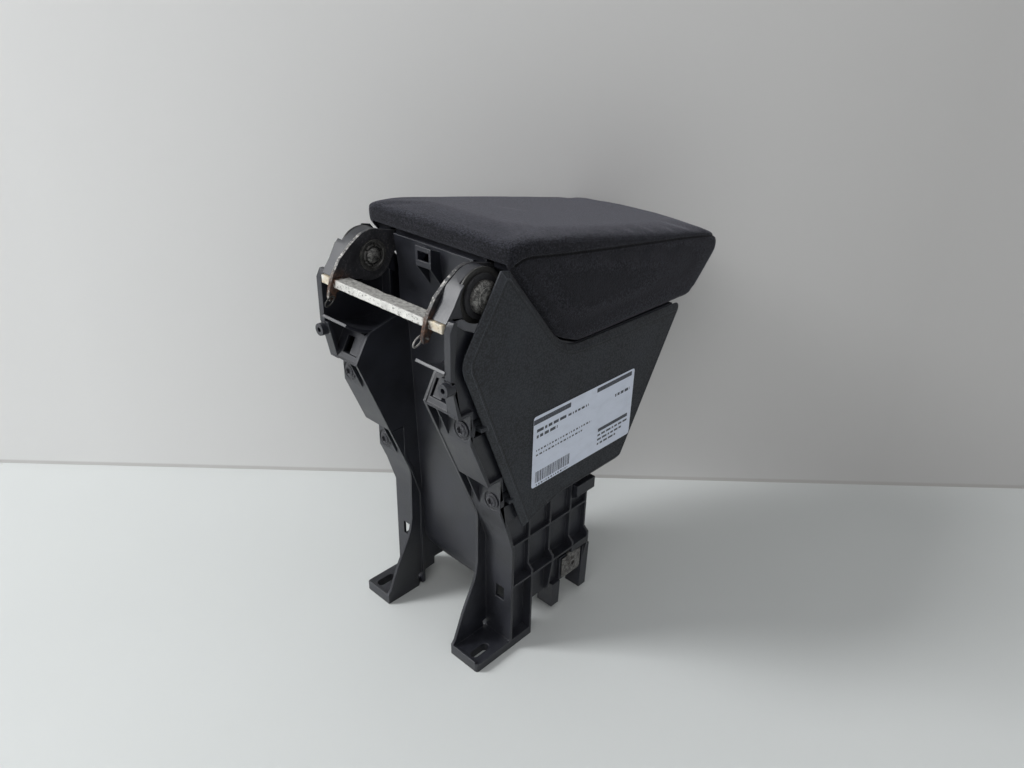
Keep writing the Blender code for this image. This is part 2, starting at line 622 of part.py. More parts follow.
def support_frame():
    """The one-piece plastic frame, built as its right half and mirrored."""
    plate, slot = foot()
    rear_web, pocket_ribs = column_web()
    web, ribs = lattice()
    clip_plate, clip_window, clip_pad = bracket()
    ear_body, ear_recess, ear_bore = ear()
    clip_eyelet, eyelet_window = eyelet()
    body = prism("X", [(COLUMN_Y, 0.002), (COLUMN_Y + WALL, 0.002), (COLUMN_Y + WALL, 0.09), (COLUMN_Y, 0.09)],
                 INNER_X_FOOT - 0.001, FRAME_HALF, "support_frame")
    strip_front = STRIP_Y + STRIP_DEPTH
    strip = prism("X", [(STRIP_Y, STRIP_TOP_Z - 0.0055), (STRIP_Y, STRIP_LOW_Z), (strip_front, STRIP_LOW_Z),
                        (strip_front + 0.003, STRIP_TOP_Z), (strip_front, STRIP_TOP_Z)], SIDE_IN, FRAME_HALF)
    tip_front = PLATE_TIP_Y + STRIP_DEPTH
    low_plate = prism("X", [(STRIP_Y, STRIP_LOW_Z + 0.0005), (PLATE_TIP_Y, LEDGE_HIGH_Z), (tip_front, LEDGE_HIGH_Z),
                            (strip_front, STRIP_LOW_Z + 0.0005)], PLATE_IN, FRAME_HALF)
    boss = turned("Y", 0.0632, 0.2465, ring(0.0018, 0.0045, -0.0262, -0.0190))
    deck = box(-0.002, WEB_IN + 0.001, 0.0400, LATTICE_FRONT, DECK_Z - 0.0025, DECK_Z)
    front_wall = box(-0.002, WEB_IN + 0.001, LATTICE_FRONT - WALL, LATTICE_FRONT, 0.0500, DECK_Z - 0.001)
    pads = [prism("Y", circle(SCREW_X, z, PAD_RADIUS, 28), y - PAD_RECESS / 2, y + PAD_THICK)
            for y, z in screw_places()]
    fuse(body, plate, inner_wall(), rear_web, *pocket_ribs, web, *ribs, *lugs(), side_plate(), clip_plate, ear_body,
         trough(), back_wall(), bulkhead(), clip_eyelet, strip, low_plate, boss, deck, front_wall, *pads)
    cutters = [slot, clip_window, ear_recess, ear_bore, eyelet_window]
    for y, z in screw_places():
        cutters.append(prism("Y", circle(SCREW_X, z, PAD_RECESS_RADIUS, 28), y - 0.004, y))
        cutters.append(prism("Y", circle(SCREW_X, z, SCREW_RADIUS + SCREW_PLAY, 12), y - 0.01, y + 0.02))
        cutters.append(box(SCREW_X - 0.0066, FRAME_HALF + 0.001, y + PAD_THICK, y + PAD_THICK + 0.0200, z - 0.0066,
                           z + 0.0066))
    column_window = box(WINDOW_X - 0.0045, WINDOW_X + 0.0040, COLUMN_Y - 0.01, COLUMN_Y + WALL + 0.004,
                        WINDOW_Z - 0.0060, WINDOW_Z + 0.0060)
    nut_hole = prism("X", circle(0.1105, 0.0400, 0.0035, 20), 0.05, 0.07)
    cut(body, column_window, nut_hole, *cutters)
    fuse(body, clip_pad)
    mirrored(body)
    return finish(body, BLACK_PLASTIC)


def side_trim(label, side):
    """A grained side trim: a shallow pan with a chamfered rim and two screw bosses on ribs."""
    outline = trim_outline()
    name = "side_trim_" + label
    inner = trim_outline(TRIM_CHAMFER)
    mesh = bmesh.new()
    rim = TRIM_IN + 0.001
    levels = [(outline, TRIM_IN), (outline, rim), (inner, TRIM_OUT)]
    rows = [[mesh.verts.new(space("X", side * x, y, z)) for y, z in points] for points, x in levels]
    mesh.faces.new(rows[0])
    mesh.faces.new(rows[-1])
    for lower, upper in zip(rows, rows[1:]):
        for index in range(len(lower)):
            after = (index + 1) % len(lower)
            mesh.faces.new((lower[index], lower[after], upper[after], upper[index]))
    trim = from_bmesh(name, mesh)
    pan = trim_outline(TRIM_CHAMFER - 0.0004)
    cut(trim, prism("X", pan, *across(side, TRIM_IN - 0.002, TRIM_OUT - TRIM_WALL)))
    for y, z in screw_places():
        start = y + PAD_THICK + GAP
        boss = prism("Y", circle(side * SCREW_X, z, TRIM_BOSS_RADIUS, 16), start, start + 0.0155)
        rib = box(*across(side, SCREW_X, TRIM_OUT - TRIM_WALL + 0.001), start + 0.003, start + 0.0150, z - 0.0015, z + 0.0015)
        fuse(trim, fuse(boss, rib))
        cut(trim, prism("Y", circle(side * SCREW_X, z, SCREW_RADIUS + SCREW_PLAY, 12), start - 0.002, start + 0.0125))
    return finish(trim, TRIM_PLASTIC)


def six_lobe(x, z, radius):
    """The outline of a six-lobed drive."""
    points = []
    for step in range(12):
        angle = 2 * math.pi * step / 12
        reach = radius * (1 + 0.16 * math.cos(6 * angle))
        points.append((x + reach * math.cos(angle), z + reach * math.sin(angle)))
    return points


def trim_screws():
    """The four flanged screws that hold the trims, seen from behind."""
    for label, side in SIDES:
        for level, (y, z) in zip(("lower", "upper"), screw_places()):
            head_face = y - GAP - SCREW_HEAD_THICK
            profile = [(0.0, head_face), (0.0036, head_face), (0.0043, head_face + 0.0009),
                       (SCREW_HEAD_RADIUS, head_face + 0.0013), (SCREW_HEAD_RADIUS, y - GAP),
                       (SCREW_RADIUS, y - GAP), (SCREW_RADIUS, y - GAP + SCREW_LENGTH - 0.001),
                       (SCREW_RADIUS * 0.6, y - GAP + SCREW_LENGTH), (0.0, y - GAP + SCREW_LENGTH)]
            screw = turned("Y", side * SCREW_X, z, profile, "trim_screw_" + level + "_" + label, 16)
            cut(screw, prism("Y", six_lobe(side * SCREW_X, z, 0.0024), head_face - 0.001, head_face + 0.0016))
            finish(screw, ZINC_STEEL)


def clip_nut(label, side):
    """A folded spring-steel nut that grips the lattice's pad from outside."""
    grip = 0.0003
    outer_x = 0.0615 + grip
    thick = 0.0010
    y0, y1, z0, z1 = 0.0990, 0.1215, 0.0290, 0.0485
    tab = 0.006
    fold = z1 + 0.0028
    outline = [(y0, z0), (y1, z0), (y1, z1), (y1 - tab, z1), (y1 - tab, fold), (y0 + tab, fold), (y0 + tab, z1), (y0, z1)]
    plate = prism("X", round_corners(outline, {0: 0.003, 1: 0.003}, 4), *across(side, outer_x, outer_x + thick),
                  "clip_nut_" + label)
    cut(plate, prism("X", circle(0.1105, 0.0400, 0.0030, 28), *across(side, 0.05, 0.08)))
    fuse(plate, turned("X", 0.1105, 0.0400, ring(0.0022, 0.0042, *across(side, outer_x + thick / 3, outer_x + 0.0028)),
                       count=28))
    for low in (0.0345, 0.0448):
        cut(plate, box(*across(side, 0.05, 0.08), 0.1020, 0.1055, low, low + 0.0007))
    fuse(plate, box(*across(side, 0.0600, outer_x + thick / 2), y0 + tab + 0.0005, y1 - tab - 0.0005, fold - 0.0013, fold - 0.0003))
    return finish(plate, BRIGHT_STEEL)


def hinge_stack(label, side):
    """The pin with its bush, two washers and push nut, on one side's hub line."""
    spring_x = EAR_FACE + GAP
    friction_x = spring_x + SPRING_THICK + SPRING_DISH + GAP
    head_x = friction_x + FRICTION_THICK + GAP
    nut_x = ARM_IN - GAP - NUT_THICK
    dome = PIN_HEAD_THICK
    head = [(PIN_HEAD_RADIUS, head_x), (PIN_HEAD_RADIUS, head_x + dome * 0.30), (PIN_HEAD_RADIUS * 0.93, head_x + dome * 0.62),
            (PIN_HEAD_RADIUS * 0.72, head_x + dome * 0.87), (PIN_HEAD_RADIUS * 0.38, head_x + dome * 0.98), (0.0, head_x + dome)]
    end = [(0.0, nut_x - 0.0030), (PIN_END_RADIUS * 0.55, nut_x - 0.0026), (PIN_END_RADIUS * 0.9, nut_x - 0.0014),
           (PIN_END_RADIUS, nut_x - 0.0002), (PIN_END_RADIUS, nut_x + NUT_THICK + GAP / 2), (PIN_RADIUS, nut_x + NUT_THICK + GAP)]
    pin = turned("X", HUB_Y, HUB_Z, [(r, side * x) for r, x in end + [(PIN_RADIUS, head_x)] + head],
                 "pivot_pin_" + label)
    finish(pin, BRIGHT_STEEL)
    bore = PIN_RADIUS + BUSH_PLAY
    bush = turned("X", HUB_Y, HUB_Z, [(r, side * x) for r, x in ring(bore, bore + BUSH_WALL, EAR_IN, EAR_FACE)],
                  "pivot_bush_" + label)
    finish(bush, BRONZE)
    dished = [(bore, spring_x + SPRING_DISH), (SPRING_RADIUS, spring_x), (SPRING_RADIUS, spring_x + SPRING_THICK),
              (bore, spring_x + SPRING_THICK + SPRING_DISH)]
    spring = turned("X", HUB_Y, HUB_Z, [(r, side * x) for r, x in dished], "spring_washer_" + label)
    finish(spring, BRIGHT_STEEL)
    friction = turned("X", HUB_Y, HUB_Z, [(r, side * x) for r, x in ring(bore, FRICTION_RADIUS, friction_x, friction_x + FRICTION_THICK)],
                      "friction_washer_" + label)
    finish(friction, RUBBER)
    push_nut(label, side, nut_x)


def push_nut(label, side, nut_x):
    """The star-lock washer on the pin's inner end: a raised rim, a dished middle and six teeth."""
    rim = NUT_RADIUS - 0.0018
    grip = PIN_END_RADIUS + GAP
    profile = [(grip, nut_x - 0.0006), (grip + 0.0008, nut_x - 0.0006), (rim - 0.0010, nut_x + 0.0002), (rim, nut_x - 0.0006),
               (NUT_RADIUS, nut_x - 0.0006), (NUT_RADIUS, nut_x + NUT_THICK), (rim - 0.0006, nut_x + NUT_THICK),
               (grip + 0.0008, nut_x + 0.0004), (grip, nut_x + 0.0004)]
    nut = turned("X", HUB_Y, HUB_Z, [(r, side * x) for r, x in profile], "push_nut_" + label)
    for step in range(6):
        angle = math.radians(60 * step + 20)
        near, far, half = PIN_END_RADIUS - 0.0010, rim - 0.0008, 0.0005
        corners = []
        for radius, offset in ((near, -half), (far, -half), (far, half), (near, half)):
            corners.append((HUB_Y + radius * math.cos(angle) - offset * math.sin(angle),
                            HUB_Z + radius * math.sin(angle) + offset * math.cos(angle)))
        cut(nut, prism("X", corners, *across(side, nut_x - 0.004, nut_x + 0.004)))
    finish(nut, BRIGHT_STEEL)


def lid_top_inside(y):
    """The carrier's inner top face at a place along Y."""
    slope = top_height(1.0) - top_height(0.0)
    return top_height(y) - (LID_PAD_TOP + CARRIER_WALL) * math.hypot(1.0, slope)


def arm_screw_places():
    """Where the two screws go through each arm's flange, along Y."""
    return (ARM_FLANGE_REAR + 0.011, ARM_FLANGE_FRONT - 0.010)


def hinge_arm(label, side):
    """A pressed steel arm: a round head, a hooked tail around the bar, and a bent flange for the lid."""
    tail_end = (-0.0262, 0.2725)
    top = lid_top_inside(ARM_FLANGE_REAR) - FLANGE_PAD - GAP
    top_front = lid_top_inside(ARM_FLANGE_FRONT) - FLANGE_PAD - GAP
    head_under = arc(HUB_Y, HUB_Z, ARM_HEAD_RADIUS, 236, 318, 9)
    head_over = arc(HUB_Y, HUB_Z, ARM_HEAD_RADIUS, 66, 126, 8)
    outline = ([(-0.0130, 0.2800), (-0.0060, 0.2830)] + head_under
               + [(0.0285, 0.2950), (0.0400, 0.2925), (ARM_FLANGE_FRONT, top_front - 0.0090),
                  (ARM_FLANGE_FRONT, top_front), (ARM_FLANGE_REAR, top), (0.0340, 0.3085), (0.0240, 0.3108)]
               + head_over + [(-0.0082, 0.3066), (-0.0168, 0.2992), (-0.0232, 0.2896), (-0.0262, 0.2815),
                              (-0.0275, 0.2760), (tail_end[0] - 0.0008, tail_end[1]), (tail_end[0] + 0.0035, tail_end[1]),
                              (-0.0212, 0.2770), (-0.0160, 0.2790)])
    arm = prism("X", outline, *across(side, ARM_IN, ARM_IN + ARM_THICK), "hinge_arm_" + label)
    slope = (top_front - top) / (ARM_FLANGE_FRONT - ARM_FLANGE_REAR)
    flange = prism("X", [(ARM_FLANGE_REAR, top), (ARM_FLANGE_REAR, top - ARM_SHEET),
                         (ARM_FLANGE_FRONT, top_front - ARM_SHEET), (ARM_FLANGE_FRONT, top_front)],
                   *across(side, ARM_IN - ARM_FLANGE_WIDTH, ARM_IN + 0.001))
    fuse(arm, flange)
    cut(arm, prism("X", circle(HUB_Y, HUB_Z, PIN_RADIUS + GAP, 28), *across(side, 0.03, 0.07)))
    half_depth = BAR_DEPTH / 2 + GAP
    half_height = BAR_HEIGHT / 2 + GAP
    cut(arm, box(*across(side, 0.03, 0.07), BAR_Y - half_depth, BAR_Y + half_depth, BAR_Z - half_height, BAR_Z + half_height))
    cut(arm, prism("X", circle(*HOOK_PLACE, HOOK_WIRE + GAP, 20), *across(side, 0.03, 0.07)))
    for y in arm_screw_places():
        z = top + slope * (y - ARM_FLANGE_REAR)
        cut(arm, prism("Z", circle(side * ARM_SCREW_X, y, SCREW_RADIUS + SCREW_PLAY, 12), z - 0.01, z + 0.01))
    return finish(arm, PAINTED_STEEL)


def cross_bar():
    """The steel bar through both arms, deeper between them, with its ends free of the ears' strips."""
    outline = [(BAR_Y - BAR_DEPTH / 2, BAR_Z - BAR_HEIGHT / 2), (BAR_Y + BAR_DEPTH / 2, BAR_Z - BAR_HEIGHT / 2),
               (BAR_Y + BAR_DEPTH / 2, BAR_Z + BAR_HEIGHT / 2), (BAR_Y - BAR_DEPTH / 2, BAR_Z + BAR_HEIGHT / 2)]
    soft = {index: BAR_ROUND for index in range(len(outline))}
    bar = prism("X", round_corners(outline, soft, 2), -BAR_LENGTH / 2, BAR_LENGTH / 2, "cross_bar")
    deeper = BAR_MIDDLE_DEPTH - BAR_DEPTH
    middle = [outline[0], (outline[1][0] + deeper, outline[1][1]), (outline[2][0] + deeper, outline[2][1]), outline[3]]
    fuse(bar, prism("X", round_corners(middle, soft, 2), -BAR_MIDDLE_HALF, BAR_MIDDLE_HALF))
    return finish(bar, ZINC_STEEL)


def wire_hook(label, side):
    """The bent wire in the arm's tail: a short leg through the hole and an open loop beside it."""
    loop_x = ARM_IN - GAP - HOOK_WIRE - 0.0002
    path = [(ARM_IN + ARM_THICK + 0.0016, *HOOK_PLACE), (ARM_IN + ARM_THICK / 2, *HOOK_PLACE), (loop_x + 0.0004, *HOOK_PLACE)]
    for step in range(14):
        angle = math.radians(62 + 21 * step)
        path.append((loop_x, HOOK_CENTRE[0] + HOOK_REACH[0] * math.cos(angle),
                     HOOK_CENTRE[1] + HOOK_REACH[1] * math.sin(angle)))
    data = bpy.data.curves.new("wire_hook_" + label, "CURVE")
    data.dimensions = "3D"
    data.bevel_depth = HOOK_WIRE
    data.bevel_resolution = 2
    data.use_fill_caps = True
    spline = data.splines.new("POLY")
    spline.points.add(len(path) - 1)
    for point, (x, y, z) in zip(spline.points, path):
        point.co = (side * x, y - CENTRE_Y, z, 1.0)
    wire = bpy.data.objects.new("wire_hook_" + label, data)
    bpy.context.collection.objects.link(wire)
    wire.data.materials.append(material("bright_steel_" + wire.name, *BRIGHT_STEEL[1:]))
    return wire


def bin_outline(inset, top):
    """The bin's side view, with its walls moved in by inset and its top raised by top."""
    run = split_run(BIN_REAR_Y, 0.2120, BIN_RIM)[::-1]
    corners = [(BIN_REAR_Y, DECK_Z + GAP), (0.1360, DECK_Z + GAP), (0.1490, 0.1250)] + run
    return moved_edges(corners, [inset, inset, inset] + [-top] * (len(run) - 1) + [inset])


def storage_bin():
    """The bin: a tub with a rim flange that lies on the side walls' top edges."""
    tub = prism("X", bin_outline(0.0, 0.0001), -BIN_HALF, BIN_HALF, "storage_bin")
    reach = FRAME_HALF - GAP
    start, end = BIN_REAR_Y, 0.2125
    sheet = split_run(start, end, BIN_RIM) + split_run(start, end, BIN_RIM + FLANGE_SHEET)[::-1]
    fuse(tub, prism("X", sheet, -reach, reach))
    cut(tub, prism("X", bin_outline(BIN_WALL, 0.02), -(BIN_HALF - BIN_WALL), BIN_HALF - BIN_WALL))
    for label, side in SIDES:
        cut(tub, prism("Z", circle(side * BUFFER_X, BUFFER_Y, BUFFER_STEM + GAP, 20), 0.20, 0.26))
    return finish(tub, BLACK_PLASTIC)


def lid_buffer(label, side):
    """A rubber buffer in the bin's rim flange, under the lid's front end."""
    seat = split_height(BUFFER_Y)
    upper = seat + BIN_RIM + FLANGE_SHEET + GAP + 0.0002
    top = seat + LINER_LIFT - GAP - 0.0003
    profile = [(0.0, upper - 0.0042), (BUFFER_STEM, upper - 0.0042), (BUFFER_STEM, upper), (BUFFER_RADIUS, upper),
               (BUFFER_RADIUS, top - 0.0006), (BUFFER_RADIUS - 0.0007, top), (0.0, top)]
    return finish(turned("Z", side * BUFFER_X, BUFFER_Y, profile, "lid_buffer_" + label, 20), RUBBER)


def liner_boss_places():
    """The four bosses that the liner is screwed to, as X and Y."""
    return [(side * LINER_BOSS_X, y) for label, side in SIDES for y in LINER_BOSS_Y]


def arm_slots(low, front):
    """Cutters for the slots that the arms pass through."""
    return [box(*across(side, ARM_IN - 0.0015, ARM_IN + ARM_THICK + 0.0015), 0.0, front, low, 0.3135) for label, side in SIDES]


def lid_carrier():
    """The lid's hard shell under the padding: an inverted tub with pads for the arms and screw bosses."""
    pad_end = LID_PAD_END + GAP
    shell = prism("X", lid_inside(CARRIER_LIFT, LID_PAD_TOP + GAP, pad_end), -CARRIER_HALF, CARRIER_HALF, "lid_carrier")
    wall = CARRIER_WALL
    inner_half = CARRIER_HALF - wall
    cut(shell, prism("X", lid_inside(-0.02, LID_PAD_TOP + GAP + wall, pad_end + wall), -inner_half, inner_half))
    for label, side in SIDES:
        top0, top1 = lid_top_inside(ARM_FLANGE_REAR), lid_top_inside(ARM_FLANGE_FRONT)
        pad = prism("X", [(ARM_FLANGE_REAR, top0 + 0.001), (ARM_FLANGE_REAR, top0 - FLANGE_PAD),
                          (ARM_FLANGE_FRONT, top1 - FLANGE_PAD), (ARM_FLANGE_FRONT, top1 + 0.001)],
                    *across(side, ARM_IN - ARM_FLANGE_WIDTH, ARM_IN + ARM_THICK))
        fuse(shell, pad)
        for y in arm_screw_places():
            z = lid_top_inside(y)
            cut(shell, prism("Z", circle(side * ARM_SCREW_X, y, SCREW_RADIUS + SCREW_PLAY, 12), z - 0.02, z - 0.0005))
    for x, y in liner_boss_places():
        foot_z = split_height(y) + LINER_LIFT + LINER_WALL + GAP + 0.0004
        fuse(shell, prism("Z", circle(x, y, LINER_BOSS_RADIUS, 16), foot_z, lid_top_inside(y) + 0.001))
        cut(shell, prism("Z", circle(x, y, SCREW_RADIUS + SCREW_PLAY, 12), foot_z - 0.002, foot_z + 0.011))
    cut(shell, *arm_slots(0.2900, 0.0385))
    return finish(shell, BLACK_PLASTIC)


def lid_liner():
    """The lid's underside panel, which follows the split line inside the carrier's walls."""
    end = LID_PAD_END + GAP + CARRIER_WALL + GAP
    low = lid_inside(LINER_LIFT, LID_PAD_TOP, end)[:len(SPLIT)]
    high = lid_inside(LINER_LIFT + LINER_WALL, LID_PAD_TOP, end)[:len(SPLIT)]
    panel = prism("X", low + high[::-1], -LINER_HALF, LINER_HALF, "lid_liner")
    cut(panel, *arm_slots(0.2500, 0.0490))
    for x, y in liner_boss_places():
        cut(panel, prism("Z", circle(x, y, SCREW_RADIUS + SCREW_PLAY, 12), 0.23, 0.26))
    return finish(panel, BLACK_PLASTIC)


def lid_cushion():
    """The padded cover over the carrier, open below, with rounded edges."""
    outline = round_corners(lid_outline(), {5: 0.004, 6: 0.004, 7: 0.02, 8: 0.03, 9: 0.004}, 4)
    mesh = bmesh.new()
    rows = []
    soft = 0.005
    levels = [(-LID_HALF, soft), (-LID_HALF + soft * 0.3, soft * 0.3), (-LID_HALF + soft, 0.0), (LID_HALF - soft, 0.0),
              (LID_HALF - soft * 0.3, soft * 0.3), (LID_HALF, soft)]
    for x, inset in levels:
        points = []
        for y, z in outline:
            room = max(z - split_height(y), 0.0)
            lowered = inset * min(room / 0.04, 1.0)
            squeeze = inset * max(0.0, (y - 0.20) / 0.068) ** 2
            points.append((y - squeeze, z - lowered))
        rows.append([mesh.verts.new(space("X", x, y, z)) for y, z in points])
    mesh.faces.new(rows[0])
    mesh.faces.new(rows[-1])
    for lower, upper in zip(rows, rows[1:]):
        for index in range(len(lower)):
            after = (index + 1) % len(lower)
            mesh.faces.new((lower[index], lower[after], upper[after], upper[index]))
    cushion = from_bmesh("lid_cushion", mesh)
    inner_half = LID_HALF - LID_PAD_SIDE
    cut(cushion, prism("X", lid_inside(-0.02, LID_PAD_TOP, LID_PAD_END), -inner_half, inner_half))
    cut(cushion, *arm_slots(0.2900, 0.0300))
    return finish(cushion, FABRIC)


def pan_screw(x, y, seat, length, name):
    """A pan-head screw that points up from its seat."""
    face = seat - PAN_HEAD_THICK
    profile = [(0.0, face), (PAN_HEAD_RADIUS - 0.001, face), (PAN_HEAD_RADIUS, seat - PAN_HEAD_THICK / 2),
               (PAN_HEAD_RADIUS, seat), (SCREW_RADIUS, seat), (SCREW_RADIUS, seat + length - 0.001), (SCREW_RADIUS * 0.6, seat + length), (0.0, seat + length)]
    screw = turned("Z", x, y, profile, name, 12)
    return cut(screw, prism("Z", six_lobe(x, y, 0.0015), face - 0.001, face + 0.0012))


def arm_screws():
    """The screws through the arms' flanges into the carrier's pads."""
    slope = top_height(0.0) - top_height(1.0)
    for label, side in SIDES:
        for place, y in zip(("rear", "front"), arm_screw_places()):
            seat = lid_top_inside(y) - FLANGE_PAD - GAP - ARM_SHEET - GAP - slope * PAN_HEAD_RADIUS
            finish(pan_screw(side * ARM_SCREW_X, y, seat, 0.0068, "arm_screw_" + place + "_" + label), ZINC_STEEL)


def liner_screws():
    """The screws that hold the liner to the carrier's bosses."""
    slope = (split_height(LINER_BOSS_Y[0]) - split_height(LINER_BOSS_Y[1])) / (LINER_BOSS_Y[1] - LINER_BOSS_Y[0])
    for label, side in SIDES:
        for place, y in zip(("rear", "front"), LINER_BOSS_Y):
            seat = split_height(y) + LINER_LIFT - GAP - slope * PAN_HEAD_RADIUS
            finish(pan_screw(side * LINER_BOSS_X, y, seat, 0.0115, "liner_screw_" + place + "_" + label), ZINC_STEEL)


def paper_label():
    """The plain paper sticker on the right trim."""
    low = TRIM_OUT + GAP
    corners = [(LABEL_Y, LABEL_Z), (LABEL_Y + LABEL_LENGTH, LABEL_Z - 0.001),
               (LABEL_Y + LABEL_LENGTH, LABEL_Z - 0.001 + LABEL_HEIGHT), (LABEL_Y, LABEL_Z + LABEL_HEIGHT)]
    label = prism("X", round_corners(corners, {0: 0.002, 1: 0.002, 2: 0.002, 3: 0.002}, 3), low, low + LABEL_THICK, "paper_label")
    return finish(label, PAPER)


support_frame()
storage_bin()
cross_bar()
lid_carrier()
lid_liner()
lid_cushion()
trim_screws()
arm_screws()
liner_screws()
paper_label()
for side_name, side_sign in SIDES:
    side_trim(side_name, side_sign)
    clip_nut(side_name, side_sign)
    hinge_stack(side_name, side_sign)
    hinge_arm(side_name, side_sign)
    wire_hook(side_name, side_sign)
    lid_buffer(side_name, side_sign)
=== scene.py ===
"""Dresses the centre console armrest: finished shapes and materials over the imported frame, and a stage.

Laid out as an add-on whose operators each make one piece or one group of like pieces. Lengths are in
metres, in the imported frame: X to the car's right, Y to its front, Z up.
"""
import math

import bmesh
import bpy
from mathutils import Matrix, Vector, noise


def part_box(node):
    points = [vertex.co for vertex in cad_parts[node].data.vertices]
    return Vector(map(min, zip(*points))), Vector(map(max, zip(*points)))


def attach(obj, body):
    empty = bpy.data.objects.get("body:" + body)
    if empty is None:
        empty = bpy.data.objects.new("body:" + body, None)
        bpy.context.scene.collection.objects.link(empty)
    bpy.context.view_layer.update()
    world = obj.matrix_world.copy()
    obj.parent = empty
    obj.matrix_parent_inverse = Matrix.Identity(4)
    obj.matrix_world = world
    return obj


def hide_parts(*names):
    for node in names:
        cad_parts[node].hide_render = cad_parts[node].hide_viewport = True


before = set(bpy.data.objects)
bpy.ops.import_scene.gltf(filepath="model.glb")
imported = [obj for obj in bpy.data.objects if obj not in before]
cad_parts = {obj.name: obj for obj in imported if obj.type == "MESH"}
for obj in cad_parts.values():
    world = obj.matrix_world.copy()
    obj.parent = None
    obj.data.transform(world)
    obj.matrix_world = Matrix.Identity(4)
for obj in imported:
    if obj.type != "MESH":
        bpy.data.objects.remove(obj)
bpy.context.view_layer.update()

bl_info = {
    "name": "Console Armrest Dressing",
    "version": (1, 0, 0),
    "blender": (4, 5, 0),
    "location": "3D View > Sidebar > Armrest",
    "description": "Builds the finished look of a centre console armrest over its packed frame",
    "category": "Add Mesh",
}

SIDES = (("right", 1), ("left", -1))

# Lengths along Y below are taken from the feet's rear edge, and moved back by this much on use
SHIFT = 0.11695
HUB = (0.0088, 0.2966)
SPLIT = ((0.0240, 0.3130), (0.0660, 0.2608), (0.0770, 0.2516), (0.0930, 0.2449), (0.2330, 0.2415))
LID_TOP = ((0.2700, 0.2752), (0.2682, 0.2850), (0.2505, 0.2924), (0.0450, 0.3266), (0.0226, 0.3274))
SEAM = ((0.0285, 0.3125), (0.0335, 0.3146), (0.0385, 0.3152), (0.0450, 0.3146), (0.0610, 0.3120),
        (0.0910, 0.3078), (0.1250, 0.3032), (0.1590, 0.2990), (0.1960, 0.2942), (0.2300, 0.2895),
        (0.2500, 0.2862), (0.2640, 0.2838))
# What the cover leaves free of the lid's shell, and of the arms at its rear, in side view
COVER_HOLLOW = ((0.0275, 0.2800), (0.2640, 0.2350), (0.2615, 0.2755), (0.2430, 0.2795), (0.0440, 0.3130),
                (0.0285, 0.3135), (0.0275, 0.3130))
COVER_REAR = ((0.0, 0.2800), (0.0300, 0.2800), (0.0300, 0.3133), (0.0, 0.3133))
HOLLOW_HALF = 0.0642
COVER_DROP = 0.0012
CORNER_ROUND = 0.0030
# The streak rubbed into the cover's top, and the middle of the rust on the arms' tails
STREAK = (-0.0060, 0.1035, 0.3210)
STREAK_TURN = -0.68
RUST_SPOT = (0.0, -0.0215, 0.2800)
# The cross bar's rear part runs past its middle, which has a worn dip
BAR_BACK = -0.01655
BAR_MIDDLE = 0.0430
BAR_STEP = 0.0004
DIP_X = -0.004
DIP_REACH = 0.0045
# The bent wire's hole in side view, and its loop's place, half length, half width and lean
HOOK_HOLE = (-0.0246, 0.2756)
LOOP_X = 0.0441
LOOP_HALF = 0.0042
LOOP_SIDE = 0.0021
LOOP_LEAN = 216.0
# Width and depth of each step of the fine line inside a trim's rim
LINE_DEPTH = 0.0001
TRIM_LINE = ((0.0011, 0.0), (0.0004, -LINE_DEPTH), (0.0005, 0.0), (0.0004, LINE_DEPTH))
SHORT_EDGE = 0.0005
# A trim screw's side view, from the middle of its head to its tip
SCREW_PROFILE = ((0.0, 0.0016), (0.0022, 0.0015), (0.0024, 0.0003), (0.0027, 0.0), (0.0036, 0.0001),
                 (0.0041, 0.0004), (0.0043, 0.0010), (0.0048, 0.0012), (0.0054, 0.0013), (0.0057, 0.0016),
                 (0.0057, 0.0022), (0.0020, 0.0022), (0.0020, 0.0145), (0.0012, 0.0162), (0.0, 0.0162))
# A hinge pin's radii, with each one's distance from the pin's inner end or from its head
PIN_TAIL = ((0.0, 0.0), (0.0022, 0.0002), (0.0040, 0.0009), (0.0052, 0.0019), (0.0058, 0.0034),
            (0.0058, 0.0045), (0.0060, 0.0047))
PIN_HEAD = ((0.0060, 0.0045), (0.0105, 0.0045), (0.0105, 0.0030), (0.0101, 0.0019), (0.0092, 0.0011),
            (0.0078, 0.0006), (0.0076, 0.0008), (0.0070, 0.0008), (0.0067, 0.0004), (0.0040, 0.0001),
            (0.0, 0.0))
# The camera's place, its turn, tilt and roll in degrees, and how far ahead of it the backdrop stands
EYE = (0.3815, -0.3066, 0.4692)
VIEW_TURN, VIEW_TILT, VIEW_ROLL = 43.08, 27.14, 1.45
WALL_AHEAD = 0.706
WALL_HEIGHT = 3.0
FLOOR_HALF = 6.0


def length(name, description, default):
    """A property in metres."""
    return bpy.props.FloatProperty(name=name, description=description, default=default, min=0.0, precision=5,
                                   unit="LENGTH", subtype="DISTANCE")


def colour(name, description, default):
    """A linear colour property."""
    return bpy.props.FloatVectorProperty(name=name, description=description, default=default, min=0.0,
                                         max=1.0, size=3, subtype="COLOR")


